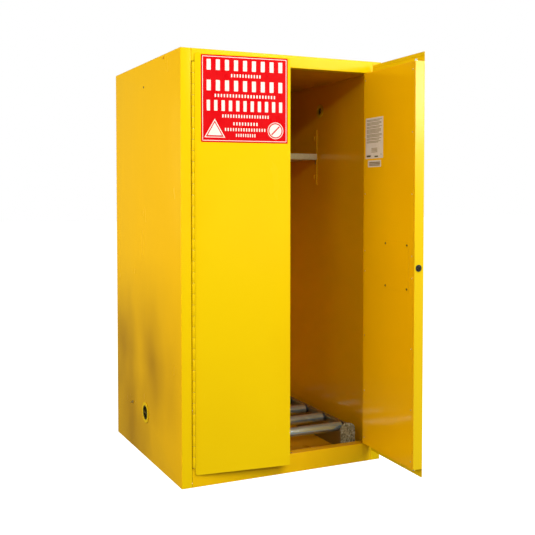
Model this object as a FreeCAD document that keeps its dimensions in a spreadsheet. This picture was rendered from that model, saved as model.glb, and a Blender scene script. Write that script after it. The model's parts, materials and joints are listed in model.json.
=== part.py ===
import FreeCAD, Part
import math
import os
import re

import Sketcher

# Double-walled steel safety cabinet for one upright drum of flammable liquid.
#
# Frame: millimetres, +Z up, origin at the centre of the base on the floor. The doors are
# at -Y and +X is on the right of somebody who faces them. Each door is drawn closed and
# then turned about its hinge pin to the angle at which it rests.
#
# A door has its own two measures: u runs from its hinge axis towards its free edge, and
# t runs from its hinge axis into the cabinet.

DIMENSIONS = {
    # Outer shell and opening
    "cab_width": 870, "cab_depth": 870, "cab_height": 1640,
    "gauge": 1.2, "bend_outside": 2.5, "bend_inside": 1.3, "shell_lift": 3,
    "stile_width": 42, "jamb_depth": 42, "rear_flange": 20, "seam_gap": 0.3,
    "header_height": 48, "header_flange": 20, "sill_height": 75, "sill_lip": 32,
    # Inner shell
    "jamb_lap": 10, "inner_back_y": 394, "notch_gap": 0.2,
    "sump_floor_z": 25, "sump_wall_z": 90, "base_pan_z": 8,
    "spacer_half_pitch": 240, "spacer_half_width": 20, "spacer_low_z": 95, "spacer_top_z": 1588,
    # Levelling feet
    "foot_inset": 70, "foot_radius": 18, "foot_height": 5, "foot_stud_radius": 5, "foot_stud_top": 20,
    # Vents and their bungs
    "vent_y": 8, "vent_low_z": 188, "vent_high_z": 1478,
    "vent_bore": 30.3, "vent_barrel": 33, "vent_flange": 43, "vent_neck": 20, "vent_throat": 16,
    "vent_ring": 30, "vent_flange_thick": 3, "vent_wall": 2, "arrester_thick": 8, "arrester_hole": 2.2,
    "bung_radius": 30.22, "bung_length": 14, "bung_recess": 25, "bung_recess_depth": 9, "bung_bar": 8,
    # Earth terminal and the small plug in the left side
    "earth_y": 189, "earth_z": 194, "earth_stud": 3, "earth_hex": 5.5, "earth_shoulder": 5, "earth_reach": 12,
    "plug_y": 13, "plug_z": 1542, "plug_shank": 3, "plug_head": 4.5,
    # Shelf and what carries it
    "shelf_front_y": 21, "shelf_back_y": 391, "shelf_half": 386.5, "shelf_z": 1258, "shelf_lip": 27,
    "shelf_hem": 8, "track_front_y": 30, "track_rear_y": 340, "track_width": 32, "track_thick": 2,
    "track_leg": 6, "track_low_z": 1145, "track_top_z": 1394, "hook_offset": 22, "hook_width": 9,
    "hook_reach": 5, "hook_tall": 18, "hook_low_z": 1180, "hook_pitch": 88.5,
    "clip_width": 14, "clip_tongue": 20,
    # Drum rollers
    "deck_mid_y": -8, "roller_pitch": 161, "roller_axis_z": 127, "roller_radius": 19,
    "roller_bore": 16.5, "tube_half": 308, "bush_radius": 16.42, "bush_collar": 18, "bush_depth": 16,
    "axle_radius": 6, "rail_web_x": 318, "rail_thick": 3, "rail_foot": 39, "rail_lip": 22,
    "rail_top_z": 138, "rail_overhang": 28, "bumper_half_in": 288, "bumper_half_out": 357,
    "bumper_thick": 14, "bumper_top_z": 147, "bumper_corner": 29,
    # Piano hinges
    "hinge_x": 387.5, "hinge_y": 438, "knuckle_radius": 5.5, "hinge_bore": 4, "hinge_pin": 3.95,
    "leaf_thick": 1.5, "leaf_depth": 33, "leaf_start": 6, "hinge_low_z": 76,
    "knuckle_pitch": 40.9, "knuckle_gap": 0.4, "knuckle_count": 37,
    # Doors
    "door_side_u": 5.5, "skin_side_u": 6, "door_width": 385.5, "skin_proud": 0.2, "skin_low_z": 46.5,
    "skin_top_z": 1623.5, "skin_corner": 10, "skin_free_corner": 2, "hem_width": 12,
    "door_thick": 40, "pan_low_z": 79, "pan_top_z": 1588, "pan_flange": 22,
    "panel_side": 8, "panel_end": 4, "rivet_u_hinge": 19, "rivet_u_free": 368,
    "rivet_shank": 1.6, "rivet_head": 3.2, "rivet_head_tall": 1.3,
    "label_u0": 30, "label_u1": 374, "label_z0": 1295, "label_z1": 1619, "label_thick": 0.3,
    "left_rest": 5.8, "right_rest": 87.5,
    # Latch: cup, paddle and lock
    "latch_z": 829, "cup_u0": 195, "cup_u1": 325, "cup_z0": 759, "cup_z1": 843.5, "cup_wall": 1.5,
    "cup_depth": 17.5, "bezel_u0": 188, "bezel_u1": 332, "bezel_z0": 752, "bezel_z1": 906,
    "bezel_corner": 8, "cutout_gap": 1, "cutout_z1": 890, "lock_u": 260, "lock_z": 870,
    "lock_bore": 9.6, "lock_boss": 13, "lock_radius": 9.5, "lock_depth": 14, "lock_face": 3,
    "key_slot_wide": 2.4, "key_slot_tall": 10, "key_slot_deep": 6, "paddle_t": 7,
    "paddle_u0": 204, "paddle_u1": 316, "barrel_radius": 7.5, "paddle_low_z": 786,
    "paddle_plate": 4, "paddle_lip": 9, "shaft_radius": 4, "shaft_bore": 4.05,
    "shaft_u0": 193.5, "shaft_u1": 333, "crank_u0": 326, "crank_u1": 332, "crank_reach": 15,
    "crank_half": 2.5, "cover_u0": 170, "cover_u1": 350, "cover_z0": 735, "cover_z1": 922,
    "cover_thick": 0.8, "cover_screw_half_u": 77, "cover_screw_half_z": 82, "screw_shank": 2,
    "screw_head": 4, "screw_head_tall": 1.6,
    # Latch: hub, rods and bolt
    "hub_u": 342, "hub_t": 18.5, "hub_thick": 3, "hub_radius": 24, "hub_slot_start": 9.5,
    "hub_slot_half": 3.8, "hub_pin": 3, "hub_pin_circle": 18, "hub_swing": 15, "pin_offset": 25,
    "rod_u": 360, "rod_t": 23, "bar_thick": 3, "bar_half": 7, "rod_pin_top_t": 26.5,
    "bolt_bar_t": 27, "bolt_pin_top_t": 30.5, "tip_radius": 5, "tip_t": 21, "tip_length": 60,
    "tip_reach": 10, "top_eye_u": 326.2, "top_eye_half": 7.6, "top_slot_half": 5.4,
    "bottom_eye_u": 358, "bottom_eye_half": 9, "bottom_slot_half": 5.6, "eye_slot_half": 3.6,
    "bolt_radius": 6, "bolt_u0": 378, "bolt_reach": 8, "guide_bore": 5.3, "guide_radius": 9,
    "guide_long": 12, "bush_bore": 6.3, "bush_outer": 8, "bush_head": 13, "bush_head_tall": 1.2,
    "bush_long": 4, "strike_hole": 6.5, "rail_hole": 8, "strike_thick": 2, "strike_half_x": 20,
    "strike_half_y": 12, "bracket_t": 33, "bracket_thick": 2, "bracket_half_z": 34,
}

# Heights of the rivets up both edges of a door's inner panel
RIVET_HEIGHTS = (107, 300, 528, 790, 872, 1102, 1330, 1558)
LEFT, RIGHT = -1, 1
ROLLER_NUMBERS = (1, 2, 3, 4, 5)

doc = FreeCAD.newDocument("drum_cabinet")
dims = doc.addObject("Spreadsheet::Sheet", "dims")
for row, (alias, amount) in enumerate(DIMENSIONS.items(), start=1):
    dims.set("A%d" % row, alias)
    dims.set("B%d" % row, str(amount))
    dims.setAlias("B%d" % row, alias)
doc.recompute()

# Expressions for the planes that many pieces share
HALF_WIDTH = "(cab_width / 2)"
FRONT = "(-cab_depth / 2)"
REAR = "(cab_depth / 2)"
SHELL_TOP = "(cab_height - gauge)"
OPENING_HALF = "(cab_width / 2 - stile_width)"
INNER_HALF = "(cab_width / 2 - stile_width + gauge)"
OPENING_TOP = "(cab_height - header_height)"
JAMB_END = "(-cab_depth / 2 + jamb_depth)"
CEILING_Z = "(cab_height - header_height + gauge)"
SKIN_BACK = "(gauge - skin_proud)"

parts = []


def formula(text):
    """Turn bare dimension names into references to the sheet."""
    return re.sub(r"[a-z][a-z_0-9]*", lambda word: link_name(word.group()), str(text))


def link_name(word):
    return "dims." + word if word in DIMENSIONS else word


# ---- Small modelling vocabulary ------------------------------------------------------

PLANE_OF_AXIS = {"X": "YZ_Plane", "Y": "XZ_Plane", "Z": "XY_Plane"}


def keep(part, label):
    """Name a finished sub-part and put it on the list of pieces to write."""
    part.Label = label
    parts.append(part)
    return part


def new_body(label):
    """A PartDesign body; it may hold several separate solids of one kind."""
    body = doc.addObject("PartDesign::Body", label)
    body.AllowCompound = True
    return keep(body, label)


def new_sketch(body, axis, at):
    """A sketch square to an axis, where that axis's coordinate equals the expression at."""
    sketch = body.newObject("Sketcher::SketchObject", body.Name + "_sketch")
    role = PLANE_OF_AXIS[axis]
    plane = next(item for item in body.Origin.OriginFeatures if item.Role == role)
    sketch.AttachmentSupport = [(plane, "")]
    sketch.MapMode = "FlatFace"
    sign = "-" if axis == "Y" else ""
    sketch.setExpression("AttachmentOffset.Base.z", formula("%s(%s)" % (sign, at)))
    return sketch


def bind(sketch, constraint, text):
    """Add a driving constraint and tie its value to a sheet expression."""
    index = sketch.addConstraint(constraint)
    sketch.setExpression("Constraints[%d]" % index, formula(text))


def polygon(sketch, corners):
    """A closed outline of straight sides; each corner is a pair of sheet expressions."""
    count = len(corners)
    turn = 2 * math.pi / count
    start = [FreeCAD.Vector(math.cos(turn * n), math.sin(turn * n), 0) for n in range(count)]
    lines = []
    for n in range(count):
        side = Part.LineSegment(start[n], start[(n + 1) % count])
        lines.append(sketch.addGeometry(side, False))
    for n in range(count):
        following = lines[(n + 1) % count]
        sketch.addConstraint(Sketcher.Constraint("Coincident", lines[n], 2, following, 1))
        for kind, text, rough in zip(("DistanceX", "DistanceY"), corners[n], start[n]):
            bind(sketch, Sketcher.Constraint(kind, -1, 1, lines[n], 1, rough), text)


def rectangle(sketch, low_x, low_y, high_x, high_y):
    polygon(sketch, [(low_x, low_y), (high_x, low_y), (high_x, high_y), (low_x, high_y)])


def circle(sketch, x, y, radius):
    ring = Part.Circle(FreeCAD.Vector(0, 0, 0), FreeCAD.Vector(0, 0, 1), 1)
    index = sketch.addGeometry(ring, False)
    bind(sketch, Sketcher.Constraint("DistanceX", -1, 1, index, 3, 0), x)
    bind(sketch, Sketcher.Constraint("DistanceY", -1, 1, index, 3, 0), y)
    bind(sketch, Sketcher.Constraint("Radius", index, 1), radius)


def pad(body, sketch, axis, length):
    """Grow a sketch along the positive direction of its axis."""
    feature = body.newObject("PartDesign::Pad", body.Name + "_pad")
    feature.Profile = sketch
    feature.setExpression("Length", formula(length))
    feature.Reversed = axis == "Y"
    doc.recompute()
    return feature


def pocket(body, sketch, axis, length):
    """Cut a sketch along the positive direction of its axis, and see that it cut."""
    before = body.Shape.Volume
    feature = body.newObject("PartDesign::Pocket", body.Name + "_pocket")
    feature.Profile = sketch
    feature.setExpression("Length", formula(length))
    feature.Reversed = axis != "Y"
    doc.recompute()
    if not body.Shape.Volume < before:
        raise RuntimeError("%s: a pocket cuts nothing" % body.Label)
    return feature


def plate(body, axis, at, thickness, low_x, low_y, high_x, high_y):
    """A flat rectangular pad, the commonest piece of the cabinet."""
    sketch = new_sketch(body, axis, at)
    rectangle(sketch, low_x, low_y, high_x, high_y)
    return pad(body, sketch, axis, thickness)


def disc(body, axis, at, thickness, x, y, radius, bore=None):
    sketch = new_sketch(body, axis, at)
    circle(sketch, x, y, radius)
    if bore:
        circle(sketch, x, y, bore)
    return pad(body, sketch, axis, thickness)


def drill(body, axis, at, depth, centres, radius):
    """Round holes along an axis; centres are pairs of expressions in the sketch plane."""
    sketch = new_sketch(body, axis, at)
    for x, y in centres:
        circle(sketch, x, y, radius)
    return pocket(body, sketch, axis, depth)


def round_edges(body, along, radius, test):
    """Fillet the straight edges that run along an axis and whose middle passes the test."""
    direction = {"X": FreeCAD.Vector(1, 0, 0), "Y": FreeCAD.Vector(0, 1, 0),
                 "Z": FreeCAD.Vector(0, 0, 1)}[along]
    names = []
    for number, edge in enumerate(body.Shape.Edges, start=1):
        straight = isinstance(edge.Curve, Part.Line)
        if straight and abs(edge.Curve.Direction.dot(direction)) > 0.999 and test(edge.CenterOfMass):
            names.append("Edge%d" % number)
    solid = body.Tip
    feature = body.newObject("PartDesign::Fillet", body.Name + "_fillet")
    feature.Base = (solid, names)
    feature.setExpression("Radius", formula(radius))
    doc.recompute()
    return feature


def close_to(value, target):
    return abs(value - target) < 0.05


def cylinder(name, axis, start, radius, length):
    """A Part cylinder that starts at three expressions and runs along an axis."""
    item = doc.addObject("Part::Cylinder", name)
    turn = {"X": FreeCAD.Rotation(FreeCAD.Vector(0, 1, 0), 90),
            "Y": FreeCAD.Rotation(FreeCAD.Vector(1, 0, 0), -90),
            "Z": FreeCAD.Rotation()}[axis]
    item.Placement = FreeCAD.Placement(FreeCAD.Vector(), turn)
    for letter, text in zip("xyz", start):
        item.setExpression("Placement.Base." + letter, formula(text))
    item.setExpression("Radius", formula(radius))
    item.setExpression("Height", formula(length))
    return item


def tube(name, axis, start, outer, inner, length):
    """A hollow cylinder, as a boolean cut."""
    item = doc.addObject("Part::Cut", name)
    item.Base = cylinder(name + "_outside", axis, start, outer, length)
    item.Tool = cylinder(name + "_bore", axis, start, inner, length)
    return item


def group(label, members):
    """Separate solids of one kind, kept in one node."""
    item = doc.addObject("Part::Compound", label)
    item.Links = members
    return keep(item, label)


# ---- Outer shell ---------------------------------------------------------------------

def outer_side(label, side):
    """One folded sheet: side wall, rear flange, front stile and the jamb behind it."""
    body = new_body(label)
    sketch = new_sketch(body, "Z", "shell_lift")
    x = lambda inset: "%d * (cab_width / 2 - (%s))" % (side, inset)
    polygon(sketch, [
        (x("0"), REAR),
        (x("rear_flange"), REAR),
        (x("rear_flange"), REAR + " - gauge"),
        (x("gauge"), REAR + " - gauge"),
        (x("gauge"), FRONT + " + gauge"),
        (x("stile_width - gauge"), FRONT + " + gauge"),
        (x("stile_width - gauge"), JAMB_END),
        (x("stile_width"), JAMB_END),
        (x("stile_width"), FRONT),
        (x("0"), FRONT),
    ])
    pad(body, sketch, "Z", SHELL_TOP + " - shell_lift")
    half_x, half_y = dims.cab_width / 2, dims.cab_depth / 2
    inner_x, inner_y = half_x - dims.gauge, half_y - dims.gauge
    stile_x = half_x - dims.stile_width
    round_edges(body, "Z", "bend_outside", lambda p: (
        close_to(abs(p.y), half_y) and (close_to(abs(p.x), half_x) or close_to(abs(p.x), stile_x))))
    round_edges(body, "Z", "bend_inside", lambda p: (
        close_to(abs(p.y), inner_y)
        and (close_to(abs(p.x), inner_x) or close_to(abs(p.x), stile_x + dims.gauge))))
    vent_z = "vent_low_z" if side == LEFT else "vent_high_z"
    outermost = "%d * cab_width / 2 - gauge * 2" % side
    if side == LEFT:
        drill(body, "X", outermost, "gauge * 4", [("vent_y", vent_z)], "vent_barrel")
        drill(body, "X", outermost, "gauge * 4", [("earth_y", "earth_z")], "earth_stud")
        drill(body, "X", outermost, "gauge * 4", [("plug_y", "plug_z")], "plug_shank")
    else:
        drill(body, "X", outermost, "gauge * 4", [("vent_y", vent_z)], "vent_barrel")


def outer_back():
    body = new_body("outer_back")
    edge = "(cab_width / 2 - gauge - bend_inside)"
    plate(body, "Y", REAR + " - gauge * 2", "gauge", "-" + edge, "shell_lift", edge, SHELL_TOP)


def outer_top():
    body = new_body("outer_top")
    plate(body, "Z", SHELL_TOP, "gauge", "-" + HALF_WIDTH, FRONT, HALF_WIDTH, REAR)
    round_edges(body, "Z", "bend_outside", lambda p: True)


def notched_sheet(label, height, half, rear):
    """A level sheet whose front corners are cut out round the two jambs."""
    body = new_body(label)
    notch_x = "(%s - notch_gap)" % OPENING_HALF
    notch_y = "(%s + notch_gap)" % JAMB_END
    front = "(%s - jamb_lap)" % JAMB_END
    sketch = new_sketch(body, "Z", height)
    polygon(sketch, [
        ("-" + half, rear), ("-" + half, notch_y), ("-" + notch_x, notch_y), ("-" + notch_x, front),
        (notch_x, front), (notch_x, notch_y), (half, notch_y), (half, rear),
    ])
    pad(body, sketch, "Z", "gauge")
    return body


def base_pan():
    edge = "(cab_width / 2 - gauge - notch_gap)"
    body = notched_sheet("base_pan", "base_pan_z", edge, "(%s - gauge * 2 - notch_gap)" % REAR)
    drill(body, "Z", "base_pan_z", "gauge", foot_centres(), "foot_stud_radius")


def header_rail():
    """Folded rail over the opening, with the hole that takes the door's top rod."""
    body = new_body("header_rail")
    sketch = new_sketch(body, "X", "-%s + seam_gap" % OPENING_HALF)
    polygon(sketch, [
        (FRONT, SHELL_TOP),
        (FRONT + " + header_flange", SHELL_TOP),
        (FRONT + " + header_flange", SHELL_TOP + " - gauge"),
        (FRONT + " + gauge", SHELL_TOP + " - gauge"),
        (FRONT + " + gauge", CEILING_Z),
        (JAMB_END, CEILING_Z),
        (JAMB_END, OPENING_TOP),
        (FRONT, OPENING_TOP),
    ])
    pad(body, sketch, "X", "2 * %s - 2 * seam_gap" % OPENING_HALF)
    front_y = -dims.cab_depth / 2
    opening_z = dims.cab_height - dims.header_height
    round_edges(body, "X", "bend_outside", lambda p: (
        close_to(p.y, front_y) and close_to(p.z, opening_z)))
    drill(body, "Z", OPENING_TOP, "gauge * 2", [strike_centre()], "rail_hole")


def sill_rail():
    """Folded rail under the opening; its top is the step that keeps a spill inside."""
    body = new_body("sill_rail")
    sketch = new_sketch(body, "X", "-%s + seam_gap" % OPENING_HALF)
    polygon(sketch, [
        (FRONT, "shell_lift"),
        (FRONT + " + gauge", "shell_lift"),
        (FRONT + " + gauge", "sill_height - gauge"),
        (JAMB_END + " - gauge", "sill_height - gauge"),
        (JAMB_END + " - gauge", "sill_height - sill_lip"),
        (JAMB_END, "sill_height - sill_lip"),
        (JAMB_END, "sill_height"),
        (FRONT, "sill_height"),
    ])
    pad(body, sketch, "X", "2 * %s - 2 * seam_gap" % OPENING_HALF)
    front_y = -dims.cab_depth / 2
    back_y = front_y + dims.jamb_depth
    round_edges(body, "X", "bend_outside", lambda p: (
        close_to(p.z, dims.sill_height) and (close_to(p.y, front_y) or close_to(p.y, back_y))))
    drill(body, "Z", "sill_height - gauge * 2", "gauge * 3", [strike_centre()], "rail_hole")


def strike_centre():
    """Where the rods of the closed right door meet the header and the sill."""
    return ("hinge_x - rod_u", "tip_t - hinge_y")


def strike_plates():
    """Two hardened plates behind the holes in the header and the sill."""
    body = new_body("strike_plates")
    x, y = strike_centre()
    corners = ("%s - strike_half_x" % x, "%s - strike_half_y" % y,
               "%s + strike_half_x" % x, "%s + strike_half_y" % y)
    plate(body, "Z", CEILING_Z, "strike_thick", *corners)
    plate(body, "Z", "sill_height - gauge - strike_thick", "strike_thick", *corners)
    drill(body, "Z", "sill_height - gauge - strike_thick", "cab_height", [strike_centre()], "strike_hole")


def foot_centres():
    edge_x, edge_y = "(%s - foot_inset)" % HALF_WIDTH, "(%s - foot_inset)" % REAR
    return [(sx + edge_x, sy + edge_y) for sx in ("", "-") for sy in ("", "-")]


def levelling_feet():
    """Four round pads, each with its threaded stud through the base pan."""
    body = new_body("levelling_feet")
    for at, length, radius in (("0", "foot_height", "foot_radius"),
                               ("foot_height", "foot_stud_top - foot_height", "foot_stud_radius")):
        sketch = new_sketch(body, "Z", at)
        for x, y in foot_centres():
            circle(sketch, x, y, radius)
        pad(body, sketch, "Z", length)


# ---- Inner shell ---------------------------------------------------------------------

def inner_side(label, side):
    body = new_body(label)
    low = INNER_HALF if side == RIGHT else "-%s - gauge" % INNER_HALF
    plate(body, "X", low, "gauge", JAMB_END + " - jamb_lap", "sump_floor_z",
          "inner_back_y + gauge", CEILING_Z)
    if side == LEFT:
        drill(body, "X", low, "gauge", [("vent_y", "vent_low_z")], "vent_neck")
    else:
        drill(body, "X", low, "gauge", [("vent_y", "vent_high_z")], "vent_neck")


def inner_back():
    body = new_body("inner_back")
    plate(body, "Y", "inner_back_y", "gauge", "-" + INNER_HALF, "sump_floor_z", INNER_HALF, CEILING_Z)


def inner_ceiling():
    notched_sheet("inner_ceiling", CEILING_Z, "(%s + gauge)" % INNER_HALF, "(inner_back_y + gauge)")


def sump_pan():
    """Welded floor pan; its walls stand behind the inner panels and hold a spill."""
    body = new_body("sump_pan")
    half = "(%s + gauge * 2)" % INNER_HALF
    rear = "(inner_back_y + gauge * 2)"
    base = "sump_floor_z - gauge"
    plate(body, "Z", base, "gauge", "-" + half, JAMB_END, half, rear)
    tall = "sump_wall_z - sump_floor_z"
    for low in ("-" + half, half + " - gauge"):
        plate(body, "Z", "sump_floor_z", tall, low, JAMB_END, low + " + gauge", rear)
    plate(body, "Z", "sump_floor_z", tall, "-" + half, rear + " - gauge", half, rear)
    plate(body, "Z", "sump_floor_z", "sill_height - gauge - sump_floor_z",
          "-" + INNER_HALF, JAMB_END, INNER_HALF, JAMB_END + " + gauge")


def wall_spacers():
    """Upright channels that hold the two shells apart: two on each side, two at the back."""
    body = new_body("wall_spacers")
    sketch = new_sketch(body, "Z", "spacer_low_z")
    for side in (LEFT, RIGHT):
        for place in (-1, 1):
            inner = "%d * (%s + gauge)" % (side, INNER_HALF)
            outer = "%d * (cab_width / 2 - gauge)" % side
            web = "%d * (cab_width / 2 - gauge * 2)" % side
            mid = "%d * spacer_half_pitch" % place
            points = channel_outline(inner, web, outer, mid)
            polygon(sketch, points)
    for place in (-1, 1):
        mid = "%d * spacer_half_pitch" % place
        points = channel_outline("inner_back_y + gauge", REAR + " - gauge * 3",
                                 REAR + " - gauge * 2", mid)
        polygon(sketch, [(across, along) for along, across in points])
    pad(body, sketch, "Z", "spacer_top_z - spacer_low_z")


def channel_outline(inner, web, outer, mid):
    """A channel's section: two legs reach from the web at the outer skin to the inner one."""
    low, high = mid + " - spacer_half_width", mid + " + spacer_half_width"
    return [(outer, low), (outer, high), (inner, high), (inner, high + " - gauge"),
            (web, high + " - gauge"), (web, low + " + gauge"), (inner, low + " + gauge"), (inner, low)]


# ---- Vents, earth terminal and plug --------------------------------------------------

def along_side(side, distance, thickness):
    """The low X of a layer that starts a distance outside the side wall's outer face."""
    if side == RIGHT:
        return "cab_width / 2 + (%s) - (%s)" % (distance, thickness)
    return "-(cab_width / 2 + (%s))" % distance


def vent_ports():
    """The two vents, each with the side it is in and its height."""
    return ((LEFT, "vent_low_z"), (RIGHT, "vent_high_z"))


def vent_collars():
    """Threaded collar through both walls: outer flange, barrel, end wall, neck, inner ring."""
    body = new_body("vent_collars")
    barrel = "(cab_width / 2 - %s - gauge - 2 * notch_gap)" % INNER_HALF
    wall = "(cab_width / 2 - %s)" % INNER_HALF
    for side, z in vent_ports():
        layers = (
            ("vent_flange_thick", "vent_flange_thick", "vent_flange", "vent_bore"),
            ("0", barrel, "vent_barrel", "vent_bore"),
            ("vent_wall - %s" % barrel, "vent_wall", "vent_barrel", "vent_throat"),
            ("-" + barrel, "%s - %s" % (wall, barrel), "vent_neck", "vent_throat"),
            ("-" + wall, "vent_flange_thick", "vent_ring", "vent_throat"),
        )
        for distance, thickness, outer, bore in layers:
            disc(body, "X", along_side(side, distance, thickness), thickness, "vent_y", z, outer, bore)


def flame_arresters():
    """Perforated discs that sit against the end walls of the collars."""
    body = new_body("flame_arresters")
    depth = "(cab_width / 2 - %s - gauge - 2 * notch_gap - vent_wall - arrester_thick)" % INNER_HALF
    for side, z in vent_ports():
        low = along_side(side, "-" + depth, "arrester_thick")
        disc(body, "X", low, "arrester_thick", "vent_y", z, "vent_bore")
        holes = [("vent_y", z)]
        for ring, count in ((1, 6), (2, 12)):
            for n in range(count):
                angle = 2 * math.pi * n / count
                holes.append(("vent_y + %g * arrester_hole * 3" % (ring * math.cos(angle)),
                              "%s + %g * arrester_hole * 3" % (z, ring * math.sin(angle))))
        drill(body, "X", low, "arrester_thick", holes, "arrester_hole")


def vent_bung(label, side, z):
    """Screwed bung with a recessed face and a bar across it to turn it by."""
    body = new_body(label)
    low = along_side(side, "vent_flange_thick - 1", "bung_length")
    disc(body, "X", low, "bung_length", "vent_y", z, "bung_radius")
    recess = along_side(side, "vent_flange_thick - 1", "bung_recess_depth")
    drill(body, "X", recess, "bung_recess_depth", [("vent_y", z)], "bung_recess")
    plate(body, "X", recess, "bung_recess_depth", "vent_y - bung_recess - 1", z + " - bung_bar / 2",
          "vent_y + bung_recess + 1", z + " + bung_bar / 2")


def earth_terminal():
    """Earthing stud with a hexagon shoulder, outside the left wall beside the vent."""
    face = "-cab_width / 2"
    stud = cylinder("earth_stud", "X", (face + " - earth_reach", "earth_y", "earth_z"),
                    "earth_stud", "earth_reach + gauge * 4")
    shoulder = doc.addObject("Part::Prism", "earth_shoulder")
    shoulder.Polygon = 6
    shoulder.Placement = FreeCAD.Placement(FreeCAD.Vector(), FreeCAD.Rotation(FreeCAD.Vector(0, 1, 0), 90))
    shoulder.setExpression("Circumradius", formula("earth_hex"))
    shoulder.setExpression("Height", formula("earth_shoulder"))
    shoulder.setExpression("Placement.Base.x", formula(face + " - earth_shoulder"))
    shoulder.setExpression("Placement.Base.y", formula("earth_y"))
    shoulder.setExpression("Placement.Base.z", formula("earth_z"))
    joined = doc.addObject("Part::Fuse", "earth_terminal")
    joined.Base = stud
    joined.Tool = shoulder
    keep(joined, "earth_terminal")


def side_plug():
    """Small round plug that fills a jig hole high in the left wall."""
    body = new_body("side_plug")
    disc(body, "X", "-cab_width / 2 - gauge", "gauge", "plug_y", "plug_z", "plug_head")
    disc(body, "X", "-cab_width / 2", "gauge * 2", "plug_y", "plug_z", "plug_shank")
    round_top = -dims.cab_width / 2 - dims.gauge
    soften_rim(body, round_top, "gauge / 2")


def soften_rim(body, x, radius):
    """Fillet the circular edge that lies in the plane at x."""
    names = ["Edge%d" % number for number, edge in enumerate(body.Shape.Edges, start=1)
             if isinstance(edge.Curve, Part.Circle) and close_to(edge.CenterOfMass.x, x)]
    solid = body.Tip
    feature = body.newObject("PartDesign::Fillet", body.Name + "_rim")
    feature.Base = (solid, names)
    feature.setExpression("Radius", formula(radius))
    doc.recompute()


# ---- Shelf ---------------------------------------------------------------------------

def track_places():
    """Each slotted upright: its side and the front edge of its strip."""
    return [(side, y) for side in (LEFT, RIGHT) for y in ("track_front_y", "track_rear_y")]


def from_wall(side, near, far):
    """Low and high X of something between two distances from the inner side wall."""
    if side == RIGHT:
        return "%s - (%s)" % (INNER_HALF, far), "%s - (%s)" % (INNER_HALF, near)
    return "-%s + (%s)" % (INNER_HALF, near), "-%s + (%s)" % (INNER_HALF, far)


def shelf_tracks():
    """Four uprights on the side walls, each with a front leg and three pressed-out hooks."""
    body = new_body("shelf_tracks")
    for side, y in track_places():
        low, high = from_wall(side, "0", "track_thick")
        plate(body, "Z", "track_low_z", "track_top_z - track_low_z", low, y, high, y + " + track_width")
        low, high = from_wall(side, "track_thick", "track_leg")
        plate(body, "Z", "track_low_z", "track_top_z - track_low_z", low, y, high, y + " + track_thick")
        low, high = from_wall(side, "track_thick", "track_thick + hook_reach")
        for level in range(3):
            bottom = "hook_low_z + %d * hook_pitch - hook_tall / 2" % level
            start = y + " + hook_offset"
            plate(body, "Z", bottom, "hook_tall", low, start, high, start + " + hook_width")


def shelf_clips():
    """Four L-shaped clips that the shelf rests on."""
    body = new_body("shelf_clips")
    for side, y in track_places():
        start = y + " + track_thick * 2"
        low, high = from_wall(side, "track_thick", "track_thick * 2")
        plate(body, "Z", "shelf_z - clip_tongue", "clip_tongue", low, start, high, start + " + clip_width")
        low, high = from_wall(side, "track_thick * 2", "clip_tongue")
        plate(body, "Z", "shelf_z - track_thick", "track_thick", low, start, high, start + " + clip_width")


def shelf_tray():
    """Galvanised tray with an upturned lip all round and a hem on the front and back lips."""
    body = new_body("shelf_tray")
    plate(body, "Z", "shelf_z", "shelf_lip", "-shelf_half", "shelf_front_y", "shelf_half", "shelf_back_y")
    round_edges(body, "X", "bend_outside", lambda p: close_to(p.z, dims.shelf_z))
    sketch = new_sketch(body, "Z", "shelf_z + gauge")
    rectangle(sketch, "-shelf_half + gauge", "shelf_front_y + gauge",
              "shelf_half - gauge", "shelf_back_y - gauge")
    pocket(body, sketch, "Z", "shelf_lip")
    plate(body, "Z", "shelf_z + shelf_lip - gauge", "gauge", "-shelf_half", "shelf_front_y",
          "shelf_half", "shelf_front_y + shelf_hem")
    plate(body, "Z", "shelf_z + shelf_lip - gauge", "gauge", "-shelf_half",
          "shelf_back_y - shelf_hem", "shelf_half", "shelf_back_y")


# ---- Drum rollers --------------------------------------------------------------------

def roller_y(number):
    middle = (ROLLER_NUMBERS[0] + ROLLER_NUMBERS[-1]) / 2
    return "(deck_mid_y + %g * roller_pitch)" % (number - middle)


def roller_rails():
    """Two channels on the sump floor that carry the axles."""
    body = new_body("roller_rails")
    first, last = roller_y(ROLLER_NUMBERS[0]), roller_y(ROLLER_NUMBERS[-1])
    front, length = first + " - rail_overhang", "%s - %s + 2 * rail_overhang" % (last, first)
    sketch = new_sketch(body, "Y", front)
    for side in (LEFT, RIGHT):
        x = lambda out: "%d * (rail_web_x + %s)" % (side, out)
        polygon(sketch, [
            (x("0"), "sump_floor_z"),
            (x("rail_foot"), "sump_floor_z"),
            (x("rail_foot"), "sump_floor_z + rail_thick"),
            (x("rail_thick"), "sump_floor_z + rail_thick"),
            (x("rail_thick"), "rail_top_z - rail_thick"),
            (x("rail_lip"), "rail_top_z - rail_thick"),
            (x("rail_lip"), "rail_top_z"),
            (x("0"), "rail_top_z"),
        ])
    pad(body, sketch, "Y", length)
    round_edges(body, "Y", "rail_thick", lambda p: (
        close_to(abs(p.x), dims.rail_web_x)))
    centres = [(roller_y(number), "roller_axis_z") for number in ROLLER_NUMBERS]
    drill(body, "X", "-cab_width / 2", "cab_width", centres, "axle_radius")


def rail_bumpers():
    """Soft round-topped blocks on the front ends of the rails."""
    body = new_body("rail_bumpers")
    back = roller_y(ROLLER_NUMBERS[0]) + " - rail_overhang"
    sketch = new_sketch(body, "Y", back + " - bumper_thick")
    for side in (LEFT, RIGHT):
        rectangle(sketch, "%d * bumper_half_in" % side, "sump_floor_z",
                  "%d * bumper_half_out" % side, "bumper_top_z")
    pad(body, sketch, "Y", "bumper_thick")
    round_edges(body, "Y", "bumper_corner", lambda p: close_to(p.z, dims.bumper_top_z))


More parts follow.
